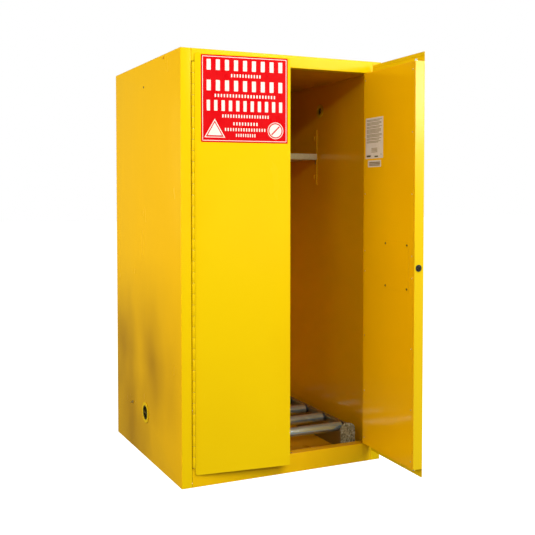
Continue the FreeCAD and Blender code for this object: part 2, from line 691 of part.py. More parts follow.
def roller_axles():
    start = "-rail_web_x - rail_thick * 2"
    group("roller_axles", [
        cylinder("axle_%d" % number, "X", (start, roller_y(number), "roller_axis_z"),
                 "axle_radius", "2 * rail_web_x + rail_thick * 4")
        for number in ROLLER_NUMBERS])


def roller_bushes():
    """Plain bearing bushes on the axle ends; the tubes turn on them."""
    body = new_body("roller_bushes")
    collar = "(rail_web_x - tube_half - notch_gap * 2)"
    for side in (LEFT, RIGHT):
        inner_face = "tube_half + notch_gap"
        collar_low = inner_face if side == RIGHT else "-(%s) - %s" % (inner_face, collar)
        spigot_low = "%s - bush_depth" % inner_face if side == RIGHT else "-(%s)" % inner_face
        for low, length, radius in ((collar_low, collar, "bush_collar"),
                                    (spigot_low, "bush_depth", "bush_radius")):
            sketch = new_sketch(body, "X", low)
            for number in ROLLER_NUMBERS:
                circle(sketch, roller_y(number), "roller_axis_z", radius)
                circle(sketch, roller_y(number), "roller_axis_z", "axle_radius")
            pad(body, sketch, "X", length)


def rollers():
    for number in ROLLER_NUMBERS:
        name = "roller_%d" % number
        start = ("-tube_half", roller_y(number), "roller_axis_z")
        keep(tube(name, "X", start, "roller_radius", "roller_bore", "2 * tube_half"), name)


# ---- Hinges --------------------------------------------------------------------------

def hinge_leaf(label, side, towards, first):
    """One leaf of a piano hinge with every second knuckle.

    towards is +1 for the leaf on the cabinet's jamb and -1 for the leaf on the door.
    """
    body = new_body(label)
    face = "%d * (hinge_x + %d * knuckle_radius)" % (side, towards)
    back = "%d * (hinge_x + %d * (knuckle_radius - leaf_thick))" % (side, towards)
    plate(body, "Z", "hinge_low_z", "knuckle_count * knuckle_pitch",
          face, "leaf_start - hinge_y", back, "leaf_depth - hinge_y")
    low = "hinge_low_z + %d * knuckle_pitch + knuckle_gap / 2" % first
    length = "knuckle_pitch - knuckle_gap"
    ring_sketch = new_sketch(body, "Z", low)
    circle(ring_sketch, "%d * hinge_x" % side, "-hinge_y", "knuckle_radius")
    circle(ring_sketch, "%d * hinge_x" % side, "-hinge_y", "hinge_bore")
    ring = pad(body, ring_sketch, "Z", length)
    tab_sketch = new_sketch(body, "Z", low)
    rectangle(tab_sketch, face, "-hinge_y", back, "leaf_start - hinge_y")
    tab = pad(body, tab_sketch, "Z", length)
    row = body.newObject("PartDesign::LinearPattern", body.Name + "_knuckles")
    row.Originals = [ring, tab]
    row.Direction = (ring_sketch, ["N_Axis"])
    row.Occurrences = int(dims.knuckle_count - first + 1) // 2
    row.setExpression("Length", formula("%d * 2 * knuckle_pitch" % (row.Occurrences - 1)))
    body.Tip = row
    doc.recompute()
    return body


def hinge_pins():
    group("hinge_pins", [
        cylinder("hinge_pin_%s" % word, "Z", ("%d * hinge_x" % side, "-hinge_y", "hinge_low_z"),
                 "hinge_pin", "knuckle_count * knuckle_pitch")
        for word, side in (("left", LEFT), ("right", RIGHT))])


# ---- Doors ---------------------------------------------------------------------------

def at_u(side, distance):
    """Row X of a point at a distance u from the hinge axis of a closed door."""
    return "%d * (hinge_x - (%s))" % (side, distance)


def at_t(depth):
    """Row Y of a point at a depth t inside the hinge axis of a closed door."""
    return "(%s) - hinge_y" % depth


def door_sheet(body, side, depth, thickness, u0, low, u1, high):
    return plate(body, "Y", at_t(depth), thickness, at_u(side, u0), low, at_u(side, u1), high)


def door_pocket(body, side, depth, cut, u0, low, u1, high):
    sketch = new_sketch(body, "Y", at_t(depth))
    rectangle(sketch, at_u(side, u0), low, at_u(side, u1), high)
    return pocket(body, sketch, "Y", cut)


def door_skin(label, side):
    """Outer sheet of a door, with a folded hem at the head and the foot."""
    body = new_body(label)
    door_sheet(body, side, "-skin_proud", "gauge", "skin_side_u", "skin_low_z", "door_width", "skin_top_z")
    free_x = side * (dims.hinge_x - dims.door_width)
    round_edges(body, "Y", "skin_corner", lambda p: not close_to(p.x, free_x))
    round_edges(body, "Y", "skin_free_corner", lambda p: close_to(p.x, free_x))
    for low in ("skin_low_z", "skin_top_z - hem_width"):
        door_sheet(body, side, SKIN_BACK, "gauge", "skin_side_u + skin_corner", low,
                   "door_width - skin_free_corner", low + " + hem_width")
    return body


def door_pan(label, side):
    """Box behind the skin: four walls, open at the skin, with a flange at the inner panel."""
    body = new_body(label)
    deep = "(door_thick - gauge - %s)" % SKIN_BACK
    door_sheet(body, side, SKIN_BACK, deep, "door_side_u", "pan_low_z", "door_width", "pan_top_z")
    door_pocket(body, side, SKIN_BACK, deep + " - gauge", "door_side_u + gauge", "pan_low_z + gauge",
                "door_width - gauge", "pan_top_z - gauge")
    door_pocket(body, side, SKIN_BACK, deep, "door_side_u + pan_flange", "pan_low_z + pan_flange",
                "door_width - pan_flange", "pan_top_z - pan_flange")
    drill(body, "Y", at_t("door_thick - gauge * 2"), "gauge", rivet_centres(side), "rivet_shank")
    return body


def door_panel(label, side):
    """Flat inner sheet, riveted to the flange of the pan."""
    body = new_body(label)
    door_sheet(body, side, "door_thick - gauge", "gauge", "door_side_u + panel_side",
               "pan_low_z + panel_end", "door_width - panel_side", "pan_top_z - panel_end")
    drill(body, "Y", at_t("door_thick - gauge"), "gauge", rivet_centres(side), "rivet_shank")
    return body


def rivet_centres(side):
    return [(at_u(side, u), str(z)) for u in ("rivet_u_hinge", "rivet_u_free") for z in RIVET_HEIGHTS]


def door_rivets(label, side):
    """Blind rivets: a shank through panel and flange under a low round head."""
    body = new_body(label)
    for depth, length, radius in (("door_thick - gauge * 2", "gauge * 2", "rivet_shank"),
                                  ("door_thick", "rivet_head_tall", "rivet_head")):
        sketch = new_sketch(body, "Y", at_t(depth))
        for x, z in rivet_centres(side):
            circle(sketch, x, z, radius)
        pad(body, sketch, "Y", length)
    return body


def left_door():
    """The door that closes first: it has a label and the strike for the other's bolt."""
    pieces = [door_skin("left_door_skin", LEFT), door_pan("left_door_pan", LEFT),
              door_panel("left_door_panel", LEFT), door_rivets("left_door_rivets", LEFT),
              hinge_leaf("left_door_hinge_leaf", LEFT, -1, 1)]
    drill(pieces[1], "X", at_u(LEFT, "door_width") + " - gauge * 2", "gauge * 3",
          [(at_t("tip_t"), "latch_z")], "rail_hole")

    strike = new_body("left_door_strike")
    door_sheet(strike, LEFT, "tip_t - strike_half_y", "2 * strike_half_y",
               "door_width - gauge - strike_thick", "latch_z - strike_half_x",
               "door_width - gauge", "latch_z + strike_half_x")
    drill(strike, "X", at_u(LEFT, "door_width") + " - gauge * 4", "gauge * 4",
          [(at_t("tip_t"), "latch_z")], "bush_outer")

    label = new_body("front_label")
    door_sheet(label, LEFT, "-skin_proud - label_thick", "label_thick",
               "label_u0", "label_z0", "label_u1", "label_z1")
    round_edges(label, "Y", "skin_free_corner", lambda p: True)
    turn_door(pieces + [strike, label], LEFT, -dims.left_rest)


def turn_door(pieces, side, angle):
    """Turn a closed door's pieces about the hinge pin to where the door rests."""
    pin = FreeCAD.Vector(side * dims.hinge_x, -dims.hinge_y, 0)
    turn = FreeCAD.Rotation(FreeCAD.Vector(0, 0, 1), angle)
    for piece in pieces:
        piece.Placement = FreeCAD.Placement(FreeCAD.Vector(), turn, pin)


# ---- Right door's latch --------------------------------------------------------------

def cover_screws_at():
    middle_u = "(bezel_u0 + bezel_u1) / 2"
    return [(at_u(RIGHT, "%s + %d * cover_screw_half_u" % (middle_u, sign_u)),
             "latch_z + %d * cover_screw_half_z" % sign_z)
            for sign_u in (-1, 1) for sign_z in (-1, 1)]


def latch_cover():
    """Thin plate screwed over the access hole in the inner panel."""
    body = new_body("latch_cover_plate")
    door_sheet(body, RIGHT, "door_thick", "cover_thick", "cover_u0", "cover_z0", "cover_u1", "cover_z1")
    drill(body, "Y", at_t("door_thick"), "cover_thick", cover_screws_at(), "screw_shank")
    return body


def latch_screws():
    body = new_body("latch_screws")
    for depth, length, radius in (("door_thick - gauge", "gauge + cover_thick", "screw_shank"),
                                  ("door_thick + cover_thick", "screw_head_tall", "screw_head")):
        sketch = new_sketch(body, "Y", at_t(depth))
        for x, z in cover_screws_at():
            circle(sketch, x, z, radius)
        pad(body, sketch, "Y", length)
    return body


def handle_cup():
    """Pressed cup in the skin: bezel, recess for the paddle and a boss for the lock."""
    body = new_body("handle_cup")
    door_sheet(body, RIGHT, "-skin_proud - cup_wall", "cup_wall", "bezel_u0", "bezel_z0",
               "bezel_u1", "bezel_z1")
    round_edges(body, "Y", "bezel_corner", lambda p: True)
    door_sheet(body, RIGHT, "-skin_proud", "cup_depth + skin_proud", "cup_u0", "cup_z0", "cup_u1", "cup_z1")
    disc(body, "Y", at_t("-skin_proud"), "lock_depth", at_u(RIGHT, "lock_u"), "lock_z", "lock_boss")
    door_pocket(body, RIGHT, "-skin_proud - cup_wall", "cup_depth + skin_proud", "cup_u0 + cup_wall",
                "cup_z0 + cup_wall", "cup_u1 - cup_wall", "cup_z1 - cup_wall")
    drill(body, "Y", at_t("-skin_proud - cup_wall"), "lock_depth + cup_wall",
          [(at_u(RIGHT, "lock_u"), "lock_z")], "lock_bore")
    drill(body, "X", at_u(RIGHT, "cup_u1 + cup_wall"), "cup_u1 - cup_u0 + cup_wall * 2",
          [(at_t("paddle_t"), "latch_z")], "shaft_bore")
    return body


def lock_cylinder():
    """Key lock beside the paddle, with a slot for the key and a cam behind."""
    body = new_body("lock_cylinder")
    x = at_u(RIGHT, "lock_u")
    disc(body, "Y", at_t("-lock_face"), "lock_depth + lock_face + 1", x, "lock_z", "lock_radius")
    door_pocket(body, RIGHT, "-lock_face", "key_slot_deep", "lock_u - key_slot_wide / 2",
                "lock_z - key_slot_tall / 2", "lock_u + key_slot_wide / 2", "lock_z + key_slot_tall / 2")
    door_sheet(body, RIGHT, "lock_depth + 1", "gauge * 2", "lock_u - key_slot_tall / 2",
               "lock_z - lock_radius", "lock_u + key_slot_tall / 2", "lock_z + lock_radius * 2")
    return body


def paddle_handle():
    """Paddle: a barrel on the shaft, a flat plate below it and a lip to pull on."""
    body = new_body("paddle_handle")
    low_x = at_u(RIGHT, "paddle_u1")
    length = "paddle_u1 - paddle_u0"
    disc(body, "X", low_x, length, at_t("paddle_t"), "latch_z", "barrel_radius")
    face = "paddle_t - barrel_radius"
    sketch = new_sketch(body, "X", low_x)
    polygon(sketch, [
        (at_t(face), "latch_z"),
        (at_t(face), "paddle_low_z"),
        (at_t(face + " + paddle_lip"), "paddle_low_z"),
        (at_t(face + " + paddle_lip"), "paddle_low_z + paddle_plate"),
        (at_t(face + " + paddle_plate"), "paddle_low_z + paddle_plate"),
        (at_t(face + " + paddle_plate"), "latch_z"),
    ])
    pad(body, sketch, "X", length)
    drill(body, "X", low_x, length, [(at_t("paddle_t"), "latch_z")], "shaft_radius")
    round_edges(body, "X", "bend_inside", lambda p: close_to(p.z, dims.paddle_low_z))
    return body


def paddle_shaft():
    """Shaft through the cup, with the crank arm that swings the hub."""
    body = new_body("paddle_shaft")
    disc(body, "X", at_u(RIGHT, "shaft_u1"), "shaft_u1 - shaft_u0", at_t("paddle_t"), "latch_z",
         "shaft_radius")
    swing = math.radians(dims.hub_swing)
    along = lambda reach: "%g * (%s)" % (math.cos(swing), reach)
    across = lambda reach: "%g * (%s)" % (math.sin(swing), reach)
    corner = lambda reach, half: (
        at_t("paddle_t + %s - %s" % (along(reach), across(half))),
        "latch_z + %s + %s" % (across(reach), along(half)))
    sketch = new_sketch(body, "X", at_u(RIGHT, "crank_u1"))
    polygon(sketch, [corner("0", "-crank_half"), corner("crank_reach", "-crank_half"),
                     corner("crank_reach", "crank_half"), corner("0", "crank_half")])
    pad(body, sketch, "X", "crank_u1 - crank_u0")
    return body


def hub_point(radius, degrees):
    """A point of the resting hub; degrees run from the side of the handle upwards."""
    angle = math.radians(degrees + dims.hub_swing)
    return (at_u(RIGHT, "hub_u - %g * (%s)" % (math.cos(angle), radius)),
            "latch_z + %g * (%s)" % (math.sin(angle), radius))


def latch_hub():
    """Slotted disc on the bracket's post, with one pin for each rod and one for the bolt."""
    body = new_body("latch_hub")
    centre = (at_u(RIGHT, "hub_u"), "latch_z")
    disc(body, "Y", at_t("hub_t"), "hub_thick", *centre, "hub_radius", "shaft_bore")
    offset = dims.pin_offset
    for degrees, top in ((offset, "rod_pin_top_t"), (180 + offset, "rod_pin_top_t"),
                         (90, "bolt_pin_top_t")):
        disc(body, "Y", at_t("hub_t + hub_thick"), top + " - hub_t - hub_thick",
             *hub_point("hub_pin_circle", degrees), "hub_pin")
    angle = math.radians(dims.hub_swing)
    along, across = math.cos(angle), math.sin(angle)
    corner = lambda reach, half: (
        at_u(RIGHT, "hub_u - %g * (%s) + %g * (%s)" % (along, reach, across, half)),
        "latch_z + %g * (%s) + %g * (%s)" % (across, reach, along, half))
    sketch = new_sketch(body, "Y", at_t("hub_t"))
    polygon(sketch, [corner("hub_slot_start", "-hub_slot_half"), corner("hub_radius + 2", "-hub_slot_half"),
                     corner("hub_radius + 2", "hub_slot_half"), corner("hub_slot_start", "hub_slot_half")])
    pocket(body, sketch, "Y", "hub_thick")
    return body


def rod(label, up, eye_u, eye_half, slot_half, pin_degrees):
    """A flat bar from the hub's pin to a round tip that stands out of the door's end."""
    body = new_body(label)
    pin_z = dims.hub_pin_circle * math.sin(math.radians(pin_degrees + dims.hub_swing))
    eye_z = "latch_z + %g" % pin_z
    far = "pan_top_z - tip_length + bar_half" if up else "pan_low_z + tip_length - bar_half"
    sketch = new_sketch(body, "Y", at_t("rod_t"))
    ahead = "+" if up else "-"
    bend = "%s %s bar_half * 3" % (eye_z, ahead)
    straight = "%s %s bar_half * 9" % (eye_z, ahead)
    near = "%s %s bar_half" % (eye_z, "-" if up else "+")
    polygon(sketch, [
        (at_u(RIGHT, "%s - %s" % (eye_u, eye_half)), near),
        (at_u(RIGHT, "%s + %s" % (eye_u, eye_half)), near),
        (at_u(RIGHT, "%s + %s" % (eye_u, eye_half)), bend),
        (at_u(RIGHT, "rod_u + bar_half"), straight),
        (at_u(RIGHT, "rod_u + bar_half"), far),
        (at_u(RIGHT, "rod_u - bar_half"), far),
        (at_u(RIGHT, "rod_u - bar_half"), straight),
        (at_u(RIGHT, "%s - %s" % (eye_u, eye_half)), bend),
    ])
    pad(body, sketch, "Y", "bar_thick")
    door_pocket(body, RIGHT, "rod_t", "bar_thick", "%s - %s" % (eye_u, slot_half), eye_z + " - eye_slot_half",
                "%s + %s" % (eye_u, slot_half), eye_z + " + eye_slot_half")
    tip_low = "pan_top_z - tip_length" if up else "pan_low_z - tip_reach"
    disc(body, "Z", tip_low, "tip_length + tip_reach", at_u(RIGHT, "rod_u"), at_t("tip_t"), "tip_radius")
    return body


def centre_bolt():
    """Round bolt in the door's free edge, on a bar that the hub's top pin draws back."""
    body = new_body("centre_bolt")
    pin_angle = math.radians(90 + dims.hub_swing)
    pin_u = "hub_u - %g * hub_pin_circle" % math.cos(pin_angle)
    bar_low, bar_high = "latch_z + hub_pin_circle - bar_half", "latch_z + hub_pin_circle + bar_half"
    door_sheet(body, RIGHT, "bolt_bar_t", "bar_thick", pin_u + " - bar_half * 1.2", bar_low,
               "bolt_u0", bar_high)
    door_sheet(body, RIGHT, "bolt_bar_t", "bar_thick", "bolt_u0 - bar_half * 1.5",
               "latch_z - bolt_radius", "bolt_u0", bar_low)
    door_sheet(body, RIGHT, "bolt_bar_t - bar_thick", "bar_thick * 2", "bolt_u0",
               "latch_z - bolt_radius", "bolt_u0 + bar_thick", "latch_z + bolt_radius")
    door_pocket(body, RIGHT, "bolt_bar_t", "bar_thick", pin_u + " - eye_slot_half",
                bar_low + " + gauge", pin_u + " + eye_slot_half", bar_high + " - gauge")
    disc(body, "X", at_u(RIGHT, "door_width + bolt_reach"), "door_width + bolt_reach - bolt_u0",
         at_t("tip_t"), "latch_z", "bolt_radius")
    return body


def latch_bracket():
    """Plate inside the door's free edge; its post is the hub's pivot."""
    body = new_body("latch_bracket")
    door_sheet(body, RIGHT, "bracket_t", "bracket_thick", "hub_u - hub_radius", "latch_z - bracket_half_z",
               "door_width - gauge", "latch_z + bracket_half_z")
    disc(body, "Y", at_t("hub_t - gauge"), "bracket_t - hub_t + gauge", at_u(RIGHT, "hub_u"), "latch_z",
         "shaft_radius")
    return body


def latch_guides():
    """Plastic guides for the rods at both ends of the door and for the bolt in its edge."""
    body = new_body("latch_guides")
    for low in ("pan_low_z + gauge", "pan_top_z - gauge - guide_long"):
        disc(body, "Z", low, "guide_long", at_u(RIGHT, "rod_u"), at_t("tip_t"), "guide_radius", "guide_bore")
    centre = (at_t("tip_t"), "latch_z")
    disc(body, "X", at_u(RIGHT, "door_width + bush_head_tall"), "bush_head_tall", *centre,
         "bush_head", "bush_bore")
    disc(body, "X", at_u(RIGHT, "door_width"), "bush_long", *centre, "bush_outer", "bush_bore")
    return body


def right_door():
    """The door that closes last, with the three-point latch."""
    skin = door_skin("right_door_skin", RIGHT)
    door_pocket(skin, RIGHT, "-skin_proud", "gauge", "cup_u0 - cutout_gap", "cup_z0 - cutout_gap",
                "cup_u1 + cutout_gap", "cutout_z1")
    pan = door_pan("right_door_pan", RIGHT)
    drill(pan, "X", at_u(RIGHT, "door_width"), "gauge", [(at_t("tip_t"), "latch_z")], "bush_outer")
    drill(pan, "Z", "pan_low_z - gauge", "cab_height", [(at_u(RIGHT, "rod_u"), at_t("tip_t"))],
          "guide_bore")
    panel = door_panel("right_door_panel", RIGHT)
    drill(panel, "Y", at_t("door_thick - gauge"), "gauge", cover_screws_at(), "screw_shank")
    pieces = [skin, pan, panel, door_rivets("right_door_rivets", RIGHT),
              hinge_leaf("right_door_hinge_leaf", RIGHT, -1, 1), latch_cover(), latch_screws(),
              handle_cup(), latch_bracket(), latch_guides(), paddle_handle(), paddle_shaft(),
              lock_cylinder(), latch_hub(),
              rod("top_rod", True, "top_eye_u", "top_eye_half", "top_slot_half", dims.pin_offset),
              rod("bottom_rod", False, "bottom_eye_u", "bottom_eye_half", "bottom_slot_half",
                  180 + dims.pin_offset),
              centre_bolt()]
    turn_door(pieces, RIGHT, dims.right_rest)


# ---- The whole cabinet ---------------------------------------------------------------

outer_side("outer_side_left", LEFT)
outer_side("outer_side_right", RIGHT)
outer_back()
outer_top()
base_pan()
header_rail()
sill_rail()
strike_plates()
levelling_feet()
inner_side("inner_side_left", LEFT)
inner_side("inner_side_right", RIGHT)
inner_back()
inner_ceiling()
sump_pan()
wall_spacers()
vent_collars()
flame_arresters()
vent_bung("vent_bung_lower", LEFT, "vent_low_z")
vent_bung("vent_bung_upper", RIGHT, "vent_high_z")
earth_terminal()
side_plug()
shelf_tracks()
shelf_clips()
shelf_tray()
roller_rails()
rail_bumpers()
roller_axles()
roller_bushes()
rollers()
hinge_leaf("hinge_frame_leaf_left", LEFT, 1, 0)
hinge_leaf("hinge_frame_leaf_right", RIGHT, 1, 0)
hinge_pins()
left_door()
right_door()
doc.recompute()

for item in doc.Objects:
    if "Invalid" in item.State or "Error" in item.State:
        raise RuntimeError("%s did not compute" % item.Label)
for part in parts:
    if part.Shape.isNull() or not part.Shape.isValid():
        raise RuntimeError("%s has no valid shape" % part.Label)

os.makedirs("parts", exist_ok=True)
for part in parts:
    part.Shape.exportStep("parts/%s.step" % part.Label)
print("%d sub-parts written" % len(parts))
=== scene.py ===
import json
import math

import bmesh
import bpy
from mathutils import Matrix, Vector


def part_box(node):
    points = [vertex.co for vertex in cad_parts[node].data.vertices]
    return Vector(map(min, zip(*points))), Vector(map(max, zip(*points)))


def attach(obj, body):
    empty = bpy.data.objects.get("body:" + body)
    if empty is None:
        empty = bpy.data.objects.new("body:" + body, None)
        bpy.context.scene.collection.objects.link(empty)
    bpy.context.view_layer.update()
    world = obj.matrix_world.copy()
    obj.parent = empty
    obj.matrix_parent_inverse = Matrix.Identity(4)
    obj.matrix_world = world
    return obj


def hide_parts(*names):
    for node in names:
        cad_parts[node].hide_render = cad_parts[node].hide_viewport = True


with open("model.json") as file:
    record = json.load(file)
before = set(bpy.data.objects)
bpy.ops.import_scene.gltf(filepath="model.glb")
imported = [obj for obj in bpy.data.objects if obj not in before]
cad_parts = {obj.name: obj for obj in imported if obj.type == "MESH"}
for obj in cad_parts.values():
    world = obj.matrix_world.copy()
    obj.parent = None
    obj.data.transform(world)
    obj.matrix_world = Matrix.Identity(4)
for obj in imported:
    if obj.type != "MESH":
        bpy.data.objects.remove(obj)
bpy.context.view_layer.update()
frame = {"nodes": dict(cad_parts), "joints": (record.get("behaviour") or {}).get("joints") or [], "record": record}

# Looks for the double-walled drum cabinet. Everything is in metres in the frame's own axes:
# +Z up, doors at -Y, +X on the right of somebody who faces them.
#
# A door's pieces are placed in the door's own measures when it is closed: u runs from the
# hinge axis towards the free edge, t runs from the hinge axis into the cabinet, and z is up.

MM = 0.001
NODES = frame["nodes"]
BODIES = frame["record"]["behaviour"]["bodies"]
BODY_OF = {node: body for body, members in BODIES.items() for node in members}
SLOT_OF = {row["node"]: row["material_slot"] for row in frame["record"]["subparts"]}
JOINTS = {joint["name"]: joint for joint in frame["joints"]}


# ---- Node helpers --------------------------------------------------------------------

class Shader:
    """A node material with one Principled shader and short calls to add to it."""

    def __init__(self, name, colour, roughness, metallic=0.0, specular=0.5):
        self.material = bpy.data.materials.new(name)
        self.material.use_nodes = True
        self.tree = self.material.node_tree
        self.bsdf = self.tree.nodes["Principled BSDF"]
        self.bsdf.inputs["Base Color"].default_value = (*colour, 1.0)
        self.bsdf.inputs["Roughness"].default_value = roughness
        self.bsdf.inputs["Metallic"].default_value = metallic
        self.bsdf.inputs["Specular IOR Level"].default_value = specular
        self.material.diffuse_color = (*colour, 1.0)
        self.place = self.node("ShaderNodeTexCoord").outputs["Object"]

    def node(self, kind, **settings):
        made = self.tree.nodes.new(kind)
        for name, value in settings.items():
            setattr(made, name, value)
        return made

    def feed(self, socket, value):
        """Link an output, or set a plain value."""
        if isinstance(value, bpy.types.NodeSocket):
            self.tree.links.new(value, socket)
        else:
            socket.default_value = value

    def stretched(self, scale):
        """The object's own coordinates, scaled apart along X, Y and Z."""
        mapping = self.node("ShaderNodeMapping")
        self.feed(mapping.inputs["Vector"], self.place)
        mapping.inputs["Scale"].default_value = scale
        return mapping.outputs["Vector"]

    def noise(self, scale, detail=3.0, roughness=0.5, vector=None, distortion=0.0):
        made = self.node("ShaderNodeTexNoise")
        self.feed(made.inputs["Vector"], self.place if vector is None else vector)
        made.inputs["Scale"].default_value = scale
        made.inputs["Detail"].default_value = detail
        made.inputs["Roughness"].default_value = roughness
        made.inputs["Distortion"].default_value = distortion
        return made.outputs["Fac"]

    def cells(self, scale, feature="F1", output="Distance"):
        made = self.node("ShaderNodeTexVoronoi", feature=feature)
        self.feed(made.inputs["Vector"], self.place)
        made.inputs["Scale"].default_value = scale
        return made.outputs[output]

    def span(self, value, low, high, to_low=0.0, to_high=1.0):
        """Map the range low to high onto to_low to to_high, held at both ends."""
        made = self.node("ShaderNodeMapRange")
        self.feed(made.inputs["Value"], value)
        ends = {"From Min": low, "From Max": high, "To Min": to_low, "To Max": to_high}
        for name, amount in ends.items():
            made.inputs[name].default_value = amount
        return made.outputs["Result"]

    def math(self, operation, first, second=None):
        made = self.node("ShaderNodeMath", operation=operation)
        self.feed(made.inputs[0], first)
        if second is not None:
            self.feed(made.inputs[1], second)
        return made.outputs["Value"]

    def blend(self, factor, first, second, mode="MIX"):
        """Mix two colours, each an output or a plain triple."""
        made = self.node("ShaderNodeMix", data_type="RGBA", blend_type=mode)
        self.feed(made.inputs[0], factor)
        for socket, colour in ((made.inputs[6], first), (made.inputs[7], second)):
            self.feed(socket, colour if isinstance(colour, bpy.types.NodeSocket) else (*colour, 1.0))
        return made.outputs[2]

    def bump(self, height, strength, distance, under=None):
        made = self.node("ShaderNodeBump")
        self.feed(made.inputs["Height"], height)
        made.inputs["Strength"].default_value = strength
        made.inputs["Distance"].default_value = distance
        if under is not None:
            self.feed(made.inputs["Normal"], under)
        return made.outputs["Normal"]

    def bevelled_normal(self, radius):
        """The surface normal rounded over within a radius of each edge."""
        made = self.node("ShaderNodeBevel", samples=4)
        made.inputs["Radius"].default_value = radius
        return made.outputs["Normal"]

    def edge_mask(self, radius, amount=1.0):
        """0 on flat sheet, rising towards the amount where an edge turns within the radius."""
        flat = self.node("ShaderNodeNewGeometry").outputs["Normal"]
        dot = self.node("ShaderNodeVectorMath", operation="DOT_PRODUCT")
        self.feed(dot.inputs[0], self.bevelled_normal(radius))
        self.feed(dot.inputs[1], flat)
        mask = self.span(dot.outputs["Value"], *EDGE_TURN)
        return mask if amount == 1.0 else self.math("MULTIPLY", mask, amount)

    def crevices(self, reach, amount):
        """0 on open surfaces, rising to the amount in joints and corners narrower than the reach."""
        made = self.node("ShaderNodeAmbientOcclusion", samples=6)
        made.inputs["Distance"].default_value = reach
        return self.span(made.outputs["AO"], *OPENNESS, 0.0, amount)

    def along(self, axis, start, end, at_start=0.0, at_end=1.0):
        """A value that changes from one place along an axis to another, and is held beyond them."""
        split = self.node("ShaderNodeSeparateXYZ")
        self.feed(split.inputs["Vector"], self.place)
        return self.span(split.outputs[axis], start, end, at_start, at_end)

    def facing(self, axis):
        """1 on faces that look along an axis, either way, and 0 on the others."""
        split = self.node("ShaderNodeSeparateXYZ")
        self.feed(split.inputs["Vector"], self.node("ShaderNodeTexCoord").outputs["Normal"])
        return self.span(self.math("ABSOLUTE", split.outputs[axis]), *FACING)

    def finish(self, colour=None, roughness=None, normal=None):
        for name, value in (("Base Color", colour), ("Roughness", roughness), ("Normal", normal)):
            if value is not None:
                self.feed(self.bsdf.inputs[name], value)
        return self.material


# ---- Materials -----------------------------------------------------------------------

# Powder coat: the lemon outside, and inside the same paint in a more orange tone that is painted warm shade; then
# painted light and shade on the sides, on edges and in joints, and dirt on the sill
YELLOW = (0.80, 0.53, 0.001)
YELLOW_DEEP = (0.77, 0.49, 0.001)
# The inside's more orange tones: painted warm shade on the outside's yellow paint
ORANGE = (0.93, 0.48, 0.001)
ORANGE_DEEP = (0.86, 0.43, 0.001)
# A brighter, warmer tone on faces that look sideways: painted light on the sides
SIDE_LIGHT_TONE = (0.97, 0.545, 0.002)
# Paler paint along edges: partly thin paint, partly a painted highlight
EDGE_HIGHLIGHT = (0.90, 0.62, 0.05)
# Darker paint in joints and corners: painted shade
JOINT_SHADE = (0.20, 0.085, 0.004)
# Darker patches low on the sides: painted shade and painted reflections
LOW_SIDE_SHADE = (0.44, 0.215, 0.006)
TRODDEN = (0.50, 0.22, 0.004)
WARM_SHEEN = (1.0, 0.88, 0.42, 1.0)
CLEAR_SHEEN = (1.0, 1.0, 0.90, 1.0)

# Where the painted shade low on the sides starts and where it is full: heights, and places along the depth
LOW_SHADE_HEIGHTS = (0.86, 0.42)
LOW_SHADE_DEPTHS = (-0.42, -0.10)

# Where a mask starts and where it is full: how squarely a face looks along an axis, the cosine of
# an edge's turn from flat sheet, and how open a joint is
FACING = (0.4, 0.8)
EDGE_TURN = (1.0, 0.75)
OPENNESS = (0.75, 0.15)


def low_side_shade_mask(paint):
    """Painted shade and painted reflections: soft dark patches low on the sides, faint towards the front."""
    clouded = paint.noise(3.3, 2.0, 0.35, vector=paint.stretched((1.0, 1.0, 0.7)))
    patches = paint.span(clouded, 0.34, 0.62, 0.35, 0.95)
    low_down = paint.math("MULTIPLY", patches, paint.along("Z", *LOW_SHADE_HEIGHTS))
    marks = paint.math("MULTIPLY", low_down, paint.along("Y", *LOW_SHADE_DEPTHS, 0.25, 1.0))
    return paint.math("MULTIPLY", marks, paint.facing("X"))


def dirt_film(paint):
    """A film of dirt with fine scuffs on faces that look up."""
    scuffs = paint.noise(38.0, 4.0, 0.6, vector=paint.stretched((0.25, 1.0, 1.0)))
    film = paint.span(scuffs, 0.30, 0.70, 0.65, 1.0)
    return paint.math("MULTIPLY", film, paint.facing("Z"))


